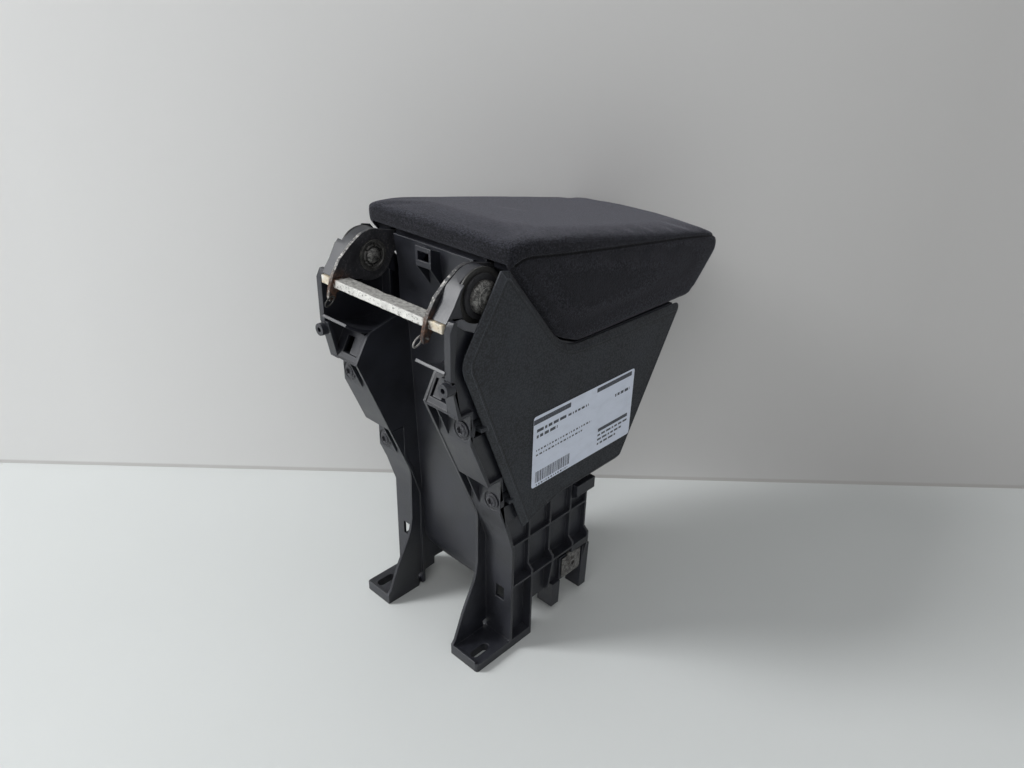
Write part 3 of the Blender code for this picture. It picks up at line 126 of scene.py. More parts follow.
class ArmrestSizes(bpy.types.PropertyGroup):
    """Sizes of the finished shapes."""
    frame_edge: length("Frame edge", "Rounding of the moulded frame's edges", 0.00035)
    trim_edge: length("Trim edge", "Rounding of the side trims' edges", 0.00032)
    metal_edge: length("Metal edge", "Rounding of the pressed steel's edges", 0.00035)
    lid_half: length("Cover half width", "Half the cover's width at its rear before it swells", 0.0695)
    lid_taper: length("Cover taper", "How much narrower each side of the cover is at its front", 0.0010)
    lid_round: length("Cover rounding", "Rounding along the cover's upper edges", 0.0055)
    cloth_pitch: length("Cloth pitch", "Size of the cover's cloth cells", 0.0040)
    swell: length("Swell", "Furthest that the padding may stand proud", 0.0022)
    seam_depth: length("Seam depth", "Depth of the cover's sewn seam", 0.0013)
    bar_pits: length("Bar pits", "Depth of the pits in the cross bar", 0.00020)
    bar_dip: length("Bar dip", "Depth of the worn dip in the middle of the cross bar", 0.00055)
    wire: length("Wire", "Radius of the bent wire hooks", 0.00058)


class ArmrestColours(bpy.types.PropertyGroup):
    """Base colours of the materials."""
    plastic: colour("Moulded plastic", "The support frame and bin", (0.0105, 0.0115, 0.0165))
    trim: colour("Trim plastic", "The grained side trims", (0.0165, 0.0190, 0.0245))
    fabric: colour("Fabric", "The cover's cloth", (0.0108, 0.0112, 0.0145))
    steel: colour("Bare steel", "Pins, nuts and scratched edges", (0.42, 0.41, 0.39))
    paint: colour("Painted steel", "The hinge arms", (0.024, 0.024, 0.028))
    zinc: colour("Zinc coating", "The cross bar", (0.80, 0.79, 0.75))
    rust: colour("Rust", "Rust on the bar and the arms' tails", (0.055, 0.026, 0.015))
    paper: colour("Paper", "The blank label", (0.70, 0.75, 0.86))
    print_dark: colour("Print", "The label's printed bars", (0.05, 0.055, 0.07))


class ArmrestStage(bpy.types.PropertyGroup):
    """The stage's colours and the camera's lens."""
    floor: colour("Floor", "The pale floor", (0.65, 0.67, 0.662))
    # The backdrop's two colours paint the falloff of light across it, lighter on the left and darker on the
    # right.
    wall: colour("Wall", "The backdrop's lit left side", (0.90, 0.895, 0.885))
    wall_dim: colour("Dim wall", "The backdrop's dim right side", (0.58, 0.57, 0.56))
    lens: bpy.props.FloatProperty(name="Lens", description="The camera's focal length", default=28.4, min=1.0,
                                  unit="CAMERA")


def sizes():
    """The scene's sizes."""
    return bpy.context.scene.armrest_sizes


def colours():
    """The scene's colours."""
    return bpy.context.scene.armrest_colours


# ---------------------------------------------------------------- materials


class Shading:
    """One material's nodes, with short calls for the ones used most."""

    def __init__(self, name, roughness=0.5, **fixed):
        self.material = bpy.data.materials.new(name)
        self.material.use_nodes = True
        self.tree = self.material.node_tree
        self.shader = self.tree.nodes["Principled BSDF"]
        self.place = self.add("ShaderNodeTexCoord").outputs["Object"]
        self.shader.inputs["Roughness"].default_value = roughness
        for key, value in fixed.items():
            self.shader.inputs[key.replace("_", " ")].default_value = value

    def add(self, kind, inputs=None, **settings):
        """Adds a node, sets its options, and sets or links its inputs."""
        node = self.tree.nodes.new(kind)
        for key, value in settings.items():
            setattr(node, key, value)
        for key, value in (inputs or {}).items():
            if isinstance(value, bpy.types.NodeSocket):
                self.tree.links.new(value, node.inputs[key])
            else:
                node.inputs[key].default_value = value
        return node

    def driven(self, **values):
        """Links values to the shader's sockets, and gives the material."""
        for key, value in values.items():
            self.tree.links.new(value, self.shader.inputs[key.replace("_", " ")])
        return self.material

    def stretched(self, scale, turn=(0.0, 0.0, 0.0)):
        """The object's coordinates, scaled by a different amount along each axis."""
        inputs = {"Vector": self.place, "Scale": scale, "Rotation": turn}
        return self.add("ShaderNodeMapping", inputs).outputs[0]

    def noise(self, scale, detail=3.0, rough=0.55, place=None):
        """Soft noise between 0 and 1."""
        inputs = {"Vector": place or self.place, "Scale": scale, "Detail": detail, "Roughness": rough}
        return self.add("ShaderNodeTexNoise", inputs).outputs["Fac"]

    def cells(self, scale, output="Distance", feature="F1", random=1.0, place=None):
        """A pattern of cells."""
        inputs = {"Vector": place or self.place, "Scale": scale, "Randomness": random}
        return self.add("ShaderNodeTexVoronoi", inputs, feature=feature).outputs[output]

    def spread(self, value, low, high, bottom=0.0, top=1.0):
        """A value mapped from low and high to bottom and top, and held there."""
        inputs = {"Value": value, "From Min": low, "From Max": high, "To Min": bottom, "To Max": top}
        return self.add("ShaderNodeMapRange", inputs, clamp=True).outputs[0]

    def calc(self, operation, first, second=0.0):
        """One step of arithmetic."""
        return self.add("ShaderNodeMath", {0: first, 1: second}, operation=operation).outputs[0]

    def times(self, first, second):
        """One value multiplied by another."""
        return self.calc("MULTIPLY", first, second)

    def vector(self, operation, first, second=(0.0, 0.0, 0.0), output="Vector"):
        """One step of arithmetic on vectors."""
        return self.add("ShaderNodeVectorMath", {0: first, 1: second}, operation=operation).outputs[output]

    def mix(self, factor, first, second):
        """A blend of two colours."""
        pair = [value if isinstance(value, bpy.types.NodeSocket) else (*value, 1.0)
                for value in (first, second)]
        return self.add("ShaderNodeMix", {0: factor, 6: pair[0], 7: pair[1]}, data_type="RGBA").outputs[2]

    def over(self, base, mask, strength, tint):
        """A colour laid over another through a mask."""
        return self.mix(self.times(mask, strength), base, tint)

    def edges(self, low, high, bottom=0.0, top=1.0):
        """The proud and sunk edges, mapped from low and high."""
        return self.spread(self.attribute("edge"), low, high, bottom, top)

    def attribute(self, name):
        """A value stored on the mesh's points."""
        return self.add("ShaderNodeAttribute", attribute_name=name).outputs["Fac"]

    def facing(self, axis):
        """How far the surface faces along an axis, from -1 to 1."""
        normal = self.add("ShaderNodeNewGeometry").outputs["Normal"]
        return self.add("ShaderNodeSeparateXYZ", {0: normal}).outputs[axis]

    def near(self, point, reach, soft):
        """1 close to a point in side view, falling to 0 at reach."""
        place = self.vector("SUBTRACT", self.place, tuple(at(*point)))
        away = self.vector("LENGTH", self.vector("MULTIPLY", place, (0.0, 1.0, 1.0)), output="Value")
        return self.spread(away, reach - soft, reach + soft, 1.0, 0.0)

    def bump(self, height, strength, distance, below=None):
        """A bump from a height, laid over another."""
        inputs = {"Height": height, "Strength": strength, "Distance": distance}
        if below:
            inputs["Normal"] = below
        return self.add("ShaderNodeBump", inputs).outputs["Normal"]


def scaled(tint, factor):
    """A colour made lighter or darker."""
    return tuple(min(part * factor, 1.0) for part in tint)


def moulded_plastic(name, tint, dust_and_painted_light=1.0):
    """Satin black plastic with a faint mottle, a little dust on its ledges, painted light on its rear-facing
    faces, thin rubbed edges that also carry a painted highlight, and painted shade along its sunk edges.
    """
    made = Shading(name, Specular_IOR_Level=0.62)
    broad = made.noise(38.0, 4.0)
    fine = made.noise(420.0, 3.0)
    base = made.mix(made.spread(broad, 0.35, 0.70), scaled(tint, 0.75), scaled(tint, 1.5))
    base = made.mix(made.spread(fine, 0.60, 0.80, 0.0, 0.30), base, scaled(tint, 2.6))
    ledge = made.times(made.spread(made.facing("Z"), 0.5, 0.95), made.spread(broad, 0.36, 0.66))
    base = made.over(base, ledge, 0.08 * dust_and_painted_light, (0.11, 0.11, 0.115))
    # Rear-facing faces are painted lighter, as a painted reflection of the bright room.
    rear = made.times(made.spread(made.facing("Y"), -0.5, -0.95), made.spread(broad, 0.30, 0.60, 0.35, 1.0))
    base = made.over(base, rear, 0.12 * dust_and_painted_light, (0.085, 0.085, 0.10))
    # Proud edges are made lighter, partly as rubbed wear and partly as a painted highlight.
    rub_and_highlight = made.times(made.edges(0.15, 0.9), made.spread(made.noise(160.0), 0.30, 0.58))
    base = made.over(base, rub_and_highlight, 0.24, (0.105, 0.108, 0.130))
    # Sunk edges are painted darker, as painted shade in the creases.
    base = made.mix(made.edges(-0.9, -0.1, 0.6, 0.0), base, scaled(tint, 0.35))
    scrape = made.noise(26.0, 2.0, 0.5, made.stretched((1.0, 9.0, 60.0), (0.5, 0.3, 0.0)))
    scrape = made.times(made.spread(scrape, 0.70, 0.74), made.spread(made.noise(60.0), 0.5, 0.6))
    base = made.over(base, scrape, 0.30, (0.11, 0.11, 0.12))
    return made.driven(Base_Color=base,
                       Roughness=made.spread(broad, 0.25, 0.75, 0.34, 0.50),
                       Normal=made.bump(fine, 0.22, 0.0004, made.bump(broad, 0.18, 0.0012)))


def grained_plastic(name, tint):
    """Trim plastic with a leather-like grain, rubbed edges that also carry a painted highlight, and painted
    shade along its sunk edges.
    """
    made = Shading(name, Specular_IOR_Level=0.50)
    warp = made.add("ShaderNodeVectorMath", {0: made.place, 1: made.add("ShaderNodeVectorMath", {
        0: made.add("ShaderNodeTexNoise", {"Vector": made.place, "Scale": 260.0}).outputs["Color"],
        1: (0.0016, 0.0016, 0.0016)}, operation="MULTIPLY").outputs[0]}, operation="ADD").outputs[0]
    grain = made.cells(760.0, place=warp)
    fold = made.cells(330.0, feature="DISTANCE_TO_EDGE", place=warp)
    broad = made.noise(30.0, 4.0)
    base = made.mix(made.spread(grain, 0.1, 0.7), scaled(tint, 1.45), scaled(tint, 0.55))
    base = made.mix(made.spread(broad, 0.45, 0.75, 0.0, 0.5), base, scaled(tint, 1.5))
    # Proud edges are made lighter, partly as rubbed wear and partly as a painted highlight.
    rub_and_highlight = made.times(made.edges(0.2, 1.0), made.spread(made.noise(120.0), 0.25, 0.55))
    base = made.over(base, rub_and_highlight, 0.36, (0.115, 0.125, 0.145))
    # Sunk edges are painted darker, as painted shade in the creases.
    base = made.mix(made.edges(-0.9, -0.1, 0.8, 0.0), base, scaled(tint, 0.2))
    speck = made.spread(made.cells(95.0), 0.022, 0.034, 1.0, 0.0)
    speck = made.times(speck, made.spread(made.noise(22.0), 0.55, 0.62))
    base = made.over(base, speck, 0.35, (0.25, 0.25, 0.25))
    return made.driven(Base_Color=base,
                       Roughness=made.spread(grain, 0.0, 0.7, 0.50, 0.66),
                       Normal=made.bump(grain, 0.45, 0.00022, made.bump(fold, 0.30, 0.00035)))


def cloth(name, tint):
    """Short knitted cloth with a fine speckle, lint, painted light on its up-facing faces, and one rubbed
    streak on top.
    """
    made = Shading(name, roughness=0.95, Specular_IOR_Level=0.22, Sheen_Weight=0.20, Sheen_Roughness=0.40,
                   Sheen_Tint=(0.80, 0.79, 0.90, 1.0))
    knit = made.cells(980.0, random=0.55)
    shade = made.cells(980.0, output="Color", random=0.55)
    shade = made.add("ShaderNodeSeparateColor", {0: shade}).outputs[0]
    fibre = made.noise(2600.0, 2.0)
    broad = made.noise(34.0, 5.0, 0.6)
    base = made.mix(made.spread(shade, 0.1, 0.9), scaled(tint, 0.35), scaled(tint, 2.50))
    base = made.mix(made.spread(knit, 0.25, 0.70, 0.0, 0.80), base, scaled(tint, 0.20))
    base = made.mix(made.spread(broad, 0.42, 0.72, 0.0, 0.14), base, scaled(tint, 1.9))
    speckle = made.spread(made.noise(1000.0, 2.0, 0.6), 0.40, 0.60)
    base = made.over(base, speckle, 0.30, scaled(tint, 2.0))
    # Up-facing faces are painted much lighter, as painted light from above.
    painted_top_light = made.mix(speckle, scaled(tint, 0.5), scaled(tint, 5.4))
    base = made.mix(made.spread(made.facing("Z"), 0.25, 0.95, 0.0, 0.55), base, painted_top_light)
    lint = made.spread(made.cells(150.0), 0.030, 0.045, 1.0, 0.0)
    lint = made.times(lint, made.spread(made.noise(30.0), 0.52, 0.60))
    base = made.over(base, lint, 0.35, (0.22, 0.20, 0.18))
    inputs = {"Vector": made.vector("SUBTRACT", made.place, tuple(at(*STREAK))), "Angle": STREAK_TURN}
    turned = made.add("ShaderNodeVectorRotate", inputs, rotation_type="Z_AXIS")
    along = made.add("ShaderNodeSeparateXYZ", {0: turned.outputs[0]})
    ragged = made.times(made.calc("SUBTRACT", made.noise(180.0), 0.5), 0.0016)
    across = made.calc("ABSOLUTE", made.calc("ADD", along.outputs[1], ragged))
    ends = made.spread(made.calc("ABSOLUTE", along.outputs[0]), 0.0088, 0.0115, 1.0, 0.0)
    streak = made.times(made.spread(across, 0.0002, 0.0007, 1.0, 0.0), ends)
    streak = made.times(streak, made.spread(made.noise(700.0), 0.35, 0.60))
    base = made.over(base, streak, 0.75, (0.26, 0.25, 0.25))
    fold = made.spread(made.attribute("seam"), 0.04, 0.45, 0.0, 0.96)
    base = made.mix(fold, base, scaled(tint, 0.10))
    fuzz = made.bump(fibre, 0.35, 0.00012, made.bump(broad, 0.10, 0.002))
    return made.driven(Base_Color=base,
                       Normal=made.bump(knit, 0.85, 0.00030, fuzz))


def painted_steel(name, tint, steel, rust):
    """Thin dark paint, dusty in places, scratched on the narrow rear edges and rusty at the tail."""
    made = Shading(name)
    broad = made.noise(70.0, 4.0)
    coarse = made.noise(210.0, 6.0, 0.70)
    places = made.add("ShaderNodeSeparateXYZ", {0: made.place})
    base = made.mix(made.spread(broad, 0.35, 0.7), scaled(tint, 0.65), scaled(tint, 1.5))
    dust = made.times(made.spread(made.noise(620.0, 4.0, 0.7), 0.52, 0.66), made.spread(broad, 0.35, 0.55))
    base = made.over(base, dust, 0.45, (0.19, 0.185, 0.175))
    edge = made.spread(made.calc("ABSOLUTE", made.facing("X")), 0.45, 0.65, 1.0, 0.0)
    behind = made.spread(places.outputs["Y"], -SHIFT + 0.004, -SHIFT - 0.002)
    least = made.spread(places.outputs["X"], -0.01, 0.01, 0.40, 0.49)
    patch = made.spread(made.calc("SUBTRACT", coarse, least), 0.0, 0.06)
    worn = made.times(made.times(edge, behind), patch)
    rim = made.times(made.edges(0.3, 0.9), made.spread(coarse, 0.44, 0.60))
    bare = made.calc("MAXIMUM", worn, made.times(rim, 0.6))
    flecks = made.spread(made.noise(520.0, 4.0), 0.46, 0.62)
    fleck = made.mix(flecks, scaled(steel, 0.45), scaled(steel, 1.45))
    base = made.over(base, bare, 0.85, fleck)
    spot = made.near(RUST_SPOT, 0.0100, 0.0050)
    rusty = made.times(spot, made.spread(made.noise(240.0, 5.0, 0.7), 0.34, 0.50))
    flakes = made.mix(made.spread(made.noise(560.0, 4.0), 0.40, 0.65), scaled(rust, 0.6), scaled(rust, 2.3))
    base = made.mix(rusty, base, flakes)
    return made.driven(Base_Color=base,
                       Metallic=made.times(bare, 0.25),
                       Roughness=made.spread(made.calc("MAXIMUM", rusty, bare), 0.0, 1.0, 0.40, 0.72),
                       Normal=made.bump(coarse, 0.40, 0.0005, made.bump(bare, 0.45, 0.00018)))


def pitted_zinc(name, tint, rust):
    """Pale pitted coating, darker on top, with cream ends and rust where the arms cross it."""
    made = Shading(name)
    pits = made.noise(430.0, 6.0, 0.72)
    broad = made.noise(85.0, 5.0, 0.65)
    base = made.mix(made.spread(broad, 0.42, 0.68), tint, scaled(tint, 0.66))
    base = made.mix(made.spread(pits, 0.55, 0.63, 0.0, 0.92), base, scaled(tint, 0.09))
    # Up-facing faces are made darker and patchy.
    upper = made.spread(made.facing("Z"), 0.35, 0.75)
    patchy = made.spread(made.noise(300.0, 5.0, 0.7), 0.42, 0.58)
    top_darkening = made.mix(patchy, scaled(tint, 0.20), scaled(tint, 0.48))
    base = made.over(base, upper, 0.85, top_darkening)
    place = made.add("ShaderNodeSeparateXYZ", {0: made.place}).outputs["X"]
    aside = made.calc("ABSOLUTE", place)
    ends = made.times(made.spread(aside, 0.048, 0.052), made.spread(made.noise(150.0, 5.0), 0.36, 0.55))
    base = made.over(base, ends, 0.60, (0.66, 0.53, 0.33))
    away = made.calc("ABSOLUTE", made.calc("SUBTRACT", aside, 0.0470))
    cross = made.spread(away, 0.0022, 0.0052, 1.0, 0.0)
    stain = made.times(cross, made.spread(made.noise(240.0, 5.0, 0.7), 0.40, 0.52))
    flakes = made.mix(made.spread(made.noise(600.0), 0.4, 0.65), scaled(rust, 0.8), scaled(rust, 2.6))
    base = made.mix(stain, base, flakes)
    return made.driven(Base_Color=base,
                       Metallic=made.spread(pits, 0.50, 0.62, 0.22, 0.05),
                       Roughness=made.spread(broad, 0.3, 0.7, 0.38, 0.64),
                       Normal=made.bump(pits, 0.7, 0.0005, made.bump(broad, 0.3, 0.0008)))


def bare_steel(name, tint, mottle=0.6, dark=0.35):
    """Dull steel with a cast-like mottle, darker stains, rims made brighter partly as wear and partly as a
    painted highlight, and painted shade along sunk edges.
    """
    made = Shading(name)
    coarse = made.noise(330.0, 6.0, 0.74)
    fine = made.noise(1300.0, 4.0)
    base = made.mix(made.spread(coarse, 0.43, 0.56), tint, scaled(tint, dark))
    base = made.mix(made.spread(fine, 0.48, 0.68, 0.0, mottle), base, scaled(tint, dark * 0.5))
    # Proud rims are made lighter, partly as worn metal and partly as a painted highlight.
    rim = made.times(made.edges(0.3, 0.9), made.spread(coarse, 0.36, 0.54, 0.35, 1.0))
    base = made.over(base, rim, 0.75, scaled(tint, 1.9))
    # Sunk edges are painted darker, as painted shade in the creases.
    base = made.mix(made.edges(-0.9, -0.1, 0.8, 0.0), base, scaled(tint, 0.12))
    return made.driven(Base_Color=base,
                       Metallic=made.spread(coarse, 0.42, 0.58, 0.70, 0.25),
                       Roughness=made.spread(fine, 0.3, 0.7, 0.34, 0.58),
                       Normal=made.bump(coarse, 0.50, 0.0005, made.bump(fine, 0.25, 0.0002)))


def soft_rubber(name, tint):
    """Matt rubber."""
    made = Shading(name, Specular_IOR_Level=0.35)
    fine = made.noise(900.0, 3.0)
    return made.driven(Base_Color=made.mix(made.spread(fine, 0.35, 0.7), tint, scaled(tint, 1.9)),
                       Roughness=made.spread(fine, 0.3, 0.7, 0.62, 0.80),
                       Normal=made.bump(fine, 0.2, 0.0003))


def coated_paper(name, tint):
    """Slightly glossy paper with faint creases and soiled patches."""
    made = Shading(name, Specular_IOR_Level=0.4)
    crease = made.noise(70.0, 3.0, 0.5, made.stretched((1.0, 1.0, 2.2)))
    fibre = made.noise(1700.0, 2.0)
    base = made.mix(made.spread(crease, 0.45, 0.75, 0.0, 0.6), tint, scaled(tint, 0.86))
    base = made.mix(made.spread(fibre, 0.4, 0.8, 0.0, 0.25), base, scaled(tint, 0.8))
    return made.driven(Base_Color=base,
                       Roughness=made.spread(crease, 0.3, 0.7, 0.42, 0.55),
                       Normal=made.bump(crease, 0.25, 0.0006, made.bump(fibre, 0.08, 0.0001)))


# ---------------------------------------------------------------- shaping


def at(x, y, z):
    """A point whose Y is measured from the feet's rear edge."""
    return Vector((x, y - SHIFT, z))


def show(work, name, look, body, slot, *nodes, crease=40.0, weigh=True):
    """Turns a bmesh into a piece that rides on a body and stands for its CAD nodes."""
    data = bpy.data.meshes.new(name)
    work.to_mesh(data)
    work.free()
    piece = bpy.data.objects.new(name, data)
    bpy.context.scene.collection.objects.link(piece)
    return settle(piece, look, body, slot, *nodes, crease=crease, weigh=weigh)


def settle(piece, look, body, slot, *nodes, crease=40.0, weigh=True):
    """Gives a piece its material and smooth shading, and ties it to its body and nodes."""
    piece.data.materials.clear()
    piece.data.materials.append(look)
    if piece.type == "MESH":
        piece.data.shade_smooth()
        piece.data.set_sharp_from_angle(angle=math.radians(crease))
        if weigh:
            change = piece.modifiers.new("even normals", "WEIGHTED_NORMAL")
            change.keep_sharp = True
            change.weight = 60
    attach(piece, body)
    if nodes:
        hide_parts(*nodes)
    return piece


def clean_copy(node):
    """A CAD node's mesh as a bmesh of joined, flat faces."""
    work = bmesh.new()
    work.from_mesh(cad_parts[node].data)
    bmesh.ops.remove_doubles(work, verts=work.verts, dist=0.00001)
    bmesh.ops.dissolve_limit(work, angle_limit=math.radians(0.3), verts=work.verts, edges=work.edges)
    return work


def round_edges(work, width, segments=2, angle=35.0):
    """Rounds the edges sharper than an angle, and marks them with how proud or sunk they are."""
    proud = work.verts.layers.float.new("edge")
    chosen = [edge for edge in work.edges
              if len(edge.link_faces) == 2 and edge.calc_face_angle() > math.radians(angle)]
    made = bmesh.ops.bevel(work, geom=chosen, offset=width, offset_type="OFFSET", segments=segments,
                           profile=0.5, affect="EDGES", clamp_overlap=False, material=-1, loop_slide=True)
    strip = set(made["faces"])
    work.normal_update()
    for vert in work.verts:
        if not vert.link_faces or not all(face in strip for face in vert.link_faces):
            continue
        middle = sum((edge.other_vert(vert).co for edge in vert.link_edges), Vector()) / len(vert.link_edges)
        vert[proud] = 1.0 if (middle - vert.co).dot(vert.normal) < 0.0 else -1.0
    return work


def softened(node, name, width, look, body, slot, segments=2, angle=35.0):
    """A CAD node's shape with its edges rounded, in its own material."""
    return show(round_edges(clean_copy(node), width, segments, angle), name, look, body, slot, node)


def spun(profile, axis, centre, steps=72):
    """A bmesh from a profile of (radius, place along the axis) pairs, turned once round."""
    work = bmesh.new()
    index = "XYZ".index(axis)
    out = [0.0, 0.0, 0.0]
    out[(index + 1) % 3] = 1.0
    along = [0.0, 0.0, 0.0]
    along[index] = 1.0
    out, along = Vector(out), Vector(along)
    verts = [work.verts.new(centre + out * radius + along * place) for radius, place in profile]
    edges = [work.edges.new(pair) for pair in zip(verts, verts[1:] + verts[:1])]
    bmesh.ops.spin(work, geom=verts + edges, cent=centre, axis=along, angle=2 * math.pi, steps=steps,
                   use_merge=True)
    bmesh.ops.remove_doubles(work, verts=work.verts, dist=0.000001)
    loose = [edge for edge in work.edges if not edge.link_faces]
    bmesh.ops.delete(work, geom=loose, context="EDGES")
    bmesh.ops.recalc_face_normals(work, faces=work.faces)
    return work


def slab(outline, low, high):
    """A bmesh of an outline in side view, extruded between two places along X."""
    work = bmesh.new()
    face = work.faces.new([work.verts.new(at(low, y, z)) for y, z in outline])
    swept = bmesh.ops.extrude_face_region(work, geom=[face])
    moved = [part for part in swept["geom"] if isinstance(part, bmesh.types.BMVert)]
    bmesh.ops.translate(work, verts=moved, vec=(high - low, 0.0, 0.0))
    bmesh.ops.recalc_face_normals(work, faces=work.faces)
    return work


def span_of(node, side):
    """A CAD node's inner and outer ends along X, as they lie on the right side."""
    low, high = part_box(node)
    return (low[0], high[0]) if side > 0 else (-high[0], -low[0])


def object_of(work, name):
    """A plain object of a bmesh, for a tool or a step in between."""
    data = bpy.data.meshes.new(name)
    work.to_mesh(data)
    work.free()
    item = bpy.data.objects.new(name, data)
    bpy.context.scene.collection.objects.link(item)
    return item


def apply(item, change):
    """Applies one modifier."""
    bpy.context.view_layer.objects.active = item
    item.select_set(True)
    bpy.ops.object.modifier_apply(modifier=change.name)
    item.select_set(False)


def cut(item, tool):
    """Takes a tool away from an object with an exact Boolean."""
    change = item.modifiers.new("cut", "BOOLEAN")
    change.operation = "DIFFERENCE"
    change.solver = "EXACT"
    change.object = tool
    apply(item, change)
    bpy.data.objects.remove(tool, do_unlink=True)


def split_height(y):
    """The lid's split line's height at a place along Y."""
    for (y0, z0), (y1, z1) in zip(SPLIT, SPLIT[1:]):
        if y <= y1:
            return z0 + (z1 - z0) * (y - y0) / (y1 - y0)
    return SPLIT[-1][1]


# ---------------------------------------------------------------- pieces


class ARMREST_OT_frame(bpy.types.Operator):
    """Build the moulded support frame with rounded edges"""
    bl_idname = "armrest.support_frame"
    bl_label = "Support Frame"

    def execute(self, context):
        look = moulded_plastic("frame_plastic", colours().plastic)
        softened("support_frame", "moulded_frame", sizes().frame_edge, look, "frame", "black_plastic")
        return {"FINISHED"}


class ARMREST_OT_bin(bpy.types.Operator):
    """Build the storage bin"""
    bl_idname = "armrest.storage_bin"
    bl_label = "Storage Bin"

    def execute(self, context):
        look = moulded_plastic("bin_plastic", colours().plastic, 0.6)
        softened("storage_bin", "bin_tub", sizes().frame_edge, look, "frame", "black_plastic")
        return {"FINISHED"}


class ARMREST_OT_trims(bpy.types.Operator):
    """Build the two grained side trims, each with a fine line inside its rim"""
    bl_idname = "armrest.side_trims"
    bl_label = "Side Trims"

    def execute(self, context):
        look = grained_plastic("trim_grain", colours().trim)
        for label, side in SIDES:
            work = clean_copy("side_trim_" + label)

            def outward(face):
                return side * face.normal.x * face.calc_area()

            # The tightest corner becomes one point, because the insets would fold its short edges over
            tight = [vert for edge in max(work.faces, key=outward).edges if edge.calc_length() < SHORT_EDGE
                     for vert in edge.verts]
            corner = tight[0].co.lerp(tight[-1].co, 0.5)
            bmesh.ops.pointmerge(work, verts=list(dict.fromkeys(tight)), merge_co=corner)
            work.normal_update()
            outer = max(work.faces, key=outward)
            level = outer.verts[0].co.x
            for thickness, depth in TRIM_LINE:
                bmesh.ops.inset_region(work, faces=[outer], thickness=thickness, depth=depth,
                                       use_even_offset=True)
            round_edges(work, sizes().trim_edge, 3, 25.0)
            # The fine line's floor is marked as sunk, so that it takes the painted shade of sunk edges.
            mark = work.verts.layers.float["edge"]
            for vert in work.verts:
                flat = all(side * face.normal.x > 0.96 for face in vert.link_faces)
                if flat and abs(side * (level - vert.co.x) - LINE_DEPTH) < LINE_DEPTH / 5:
                    vert[mark] = -1.0
            show(work, "trim_cover_" + label, look, "frame", "trim_plastic", "side_trim_" + label)
        return {"FINISHED"}


class ARMREST_OT_screws(bpy.types.Operator):
    """Build the flanged trim screws with their six-lobed sockets"""
    bl_idname = "armrest.trim_screws"
    bl_label = "Trim Screws"

    def execute(self, context):
        look = bare_steel("screw_steel", (0.085, 0.085, 0.095), 0.4, 0.5)
        for label, side in SIDES:
            for level in ("lower", "upper"):
                node = "trim_screw_" + level + "_" + label
                low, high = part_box(node)
                centre = Vector(((low[0] + high[0]) / 2, low[1], (low[2] + high[2]) / 2))
                work = spun(SCREW_PROFILE, "Y", centre, 48)
                for vert in work.verts:
                    out = vert.co - centre
                    radius = math.hypot(out.x, out.z)
                    if 0.0015 < radius < 0.0026 and out.y < 0.0017:
                        swing = 1.0 + 0.15 * math.cos(6.0 * math.atan2(out.z, out.x))
                        vert.co = Vector((centre.x + out.x * swing, vert.co.y, centre.z + out.z * swing))
                name = "flange_screw_" + level + "_" + label
                show(work, name, look, "frame", "zinc_steel", node, crease=30.0)
        return {"FINISHED"}


class ARMREST_OT_clip_nuts(bpy.types.Operator):
    """Build the folded spring-steel clip nuts"""
    bl_idname = "armrest.clip_nuts"
    bl_label = "Clip Nuts"

    def execute(self, context):
        look = bare_steel("clip_steel", (0.27, 0.26, 0.25), 0.6, 0.30)
        for label, side in SIDES:
            softened("clip_nut_" + label, "spring_nut_" + label, 0.00015, look, "frame", "bright_steel")
        return {"FINISHED"}


class ARMREST_OT_hinge(bpy.types.Operator):
    """Build each hinge's pin, bush, washers and star-lock nut"""
    bl_idname = "armrest.hinge"
    bl_label = "Hinge Stack"

    def execute(self, context):
        steel = colours().steel
        cast = bare_steel("pin_steel", scaled(steel, 0.62), 0.75, 0.14)
        ring = bare_steel("washer_steel", scaled(steel, 0.16), 0.4, 0.5)
        star = bare_steel("nut_steel", scaled(steel, 0.30), 0.6, 0.25)
        black = soft_rubber("friction_ring", (0.016, 0.016, 0.018))
        bronze = bare_steel("bush_bronze", (0.40, 0.27, 0.12), 0.3, 0.6)
        for label, side in SIDES:
            centre = at(0.0, *HUB)

            def turn(profile, name, look, body, slot, node, angle=30.0):
                work = spun([(radius, side * place) for radius, place in profile], "X", centre)
                return show(round_edges(work, 0.00012, 2, angle), name, look, body, slot, node)

            end, head = span_of("pivot_pin_" + label, side)
            pin = [(radius, end + step) for radius, step in PIN_TAIL]
            pin += [(radius, head - step) for radius, step in PIN_HEAD]
            turn(pin, "hinge_pin_" + label, cast, "lid", "bright_steel", "pivot_pin_" + label)
            near, far = span_of("spring_washer_" + label, side)
            turn(((0.0063, near + 0.0004), (0.0120, near + 0.0002), (0.0176, near), (0.0176, near + 0.0012),
                  (0.0150, far - 0.0003), (0.0063, far)),
                 "dished_washer_" + label, ring, "frame", "bright_steel", "spring_washer_" + label)
            plain = (("friction_washer_", "black_washer_", 0.0142, black, "rubber"),
                     ("pivot_bush_", "pin_bush_", 0.0081, bronze, "bronze"))
            for part, name, outer, look, slot in plain:
                near, far = span_of(part + label, side)
                turn(((0.0063, near), (outer, near), (outer, far), (0.0063, far)),
                     name + label, look, "frame", slot, part + label)
            softened("push_nut_" + label, "star_nut_" + label, 0.00016, star, "lid", "bright_steel", 2, 30.0)
        return {"FINISHED"}


class ARMREST_OT_arms(bpy.types.Operator):
    """Build the two pressed arms, scratched and rusty at their tails"""
    bl_idname = "armrest.hinge_arms"
    bl_label = "Hinge Arms"

    def execute(self, context):
        look = painted_steel("arm_paint", colours().paint, colours().steel, colours().rust)
        for label, side in SIDES:
            softened("hinge_arm_" + label, "pressed_arm_" + label, sizes().metal_edge, look, "lid",
                     "painted_steel")
        return {"FINISHED"}


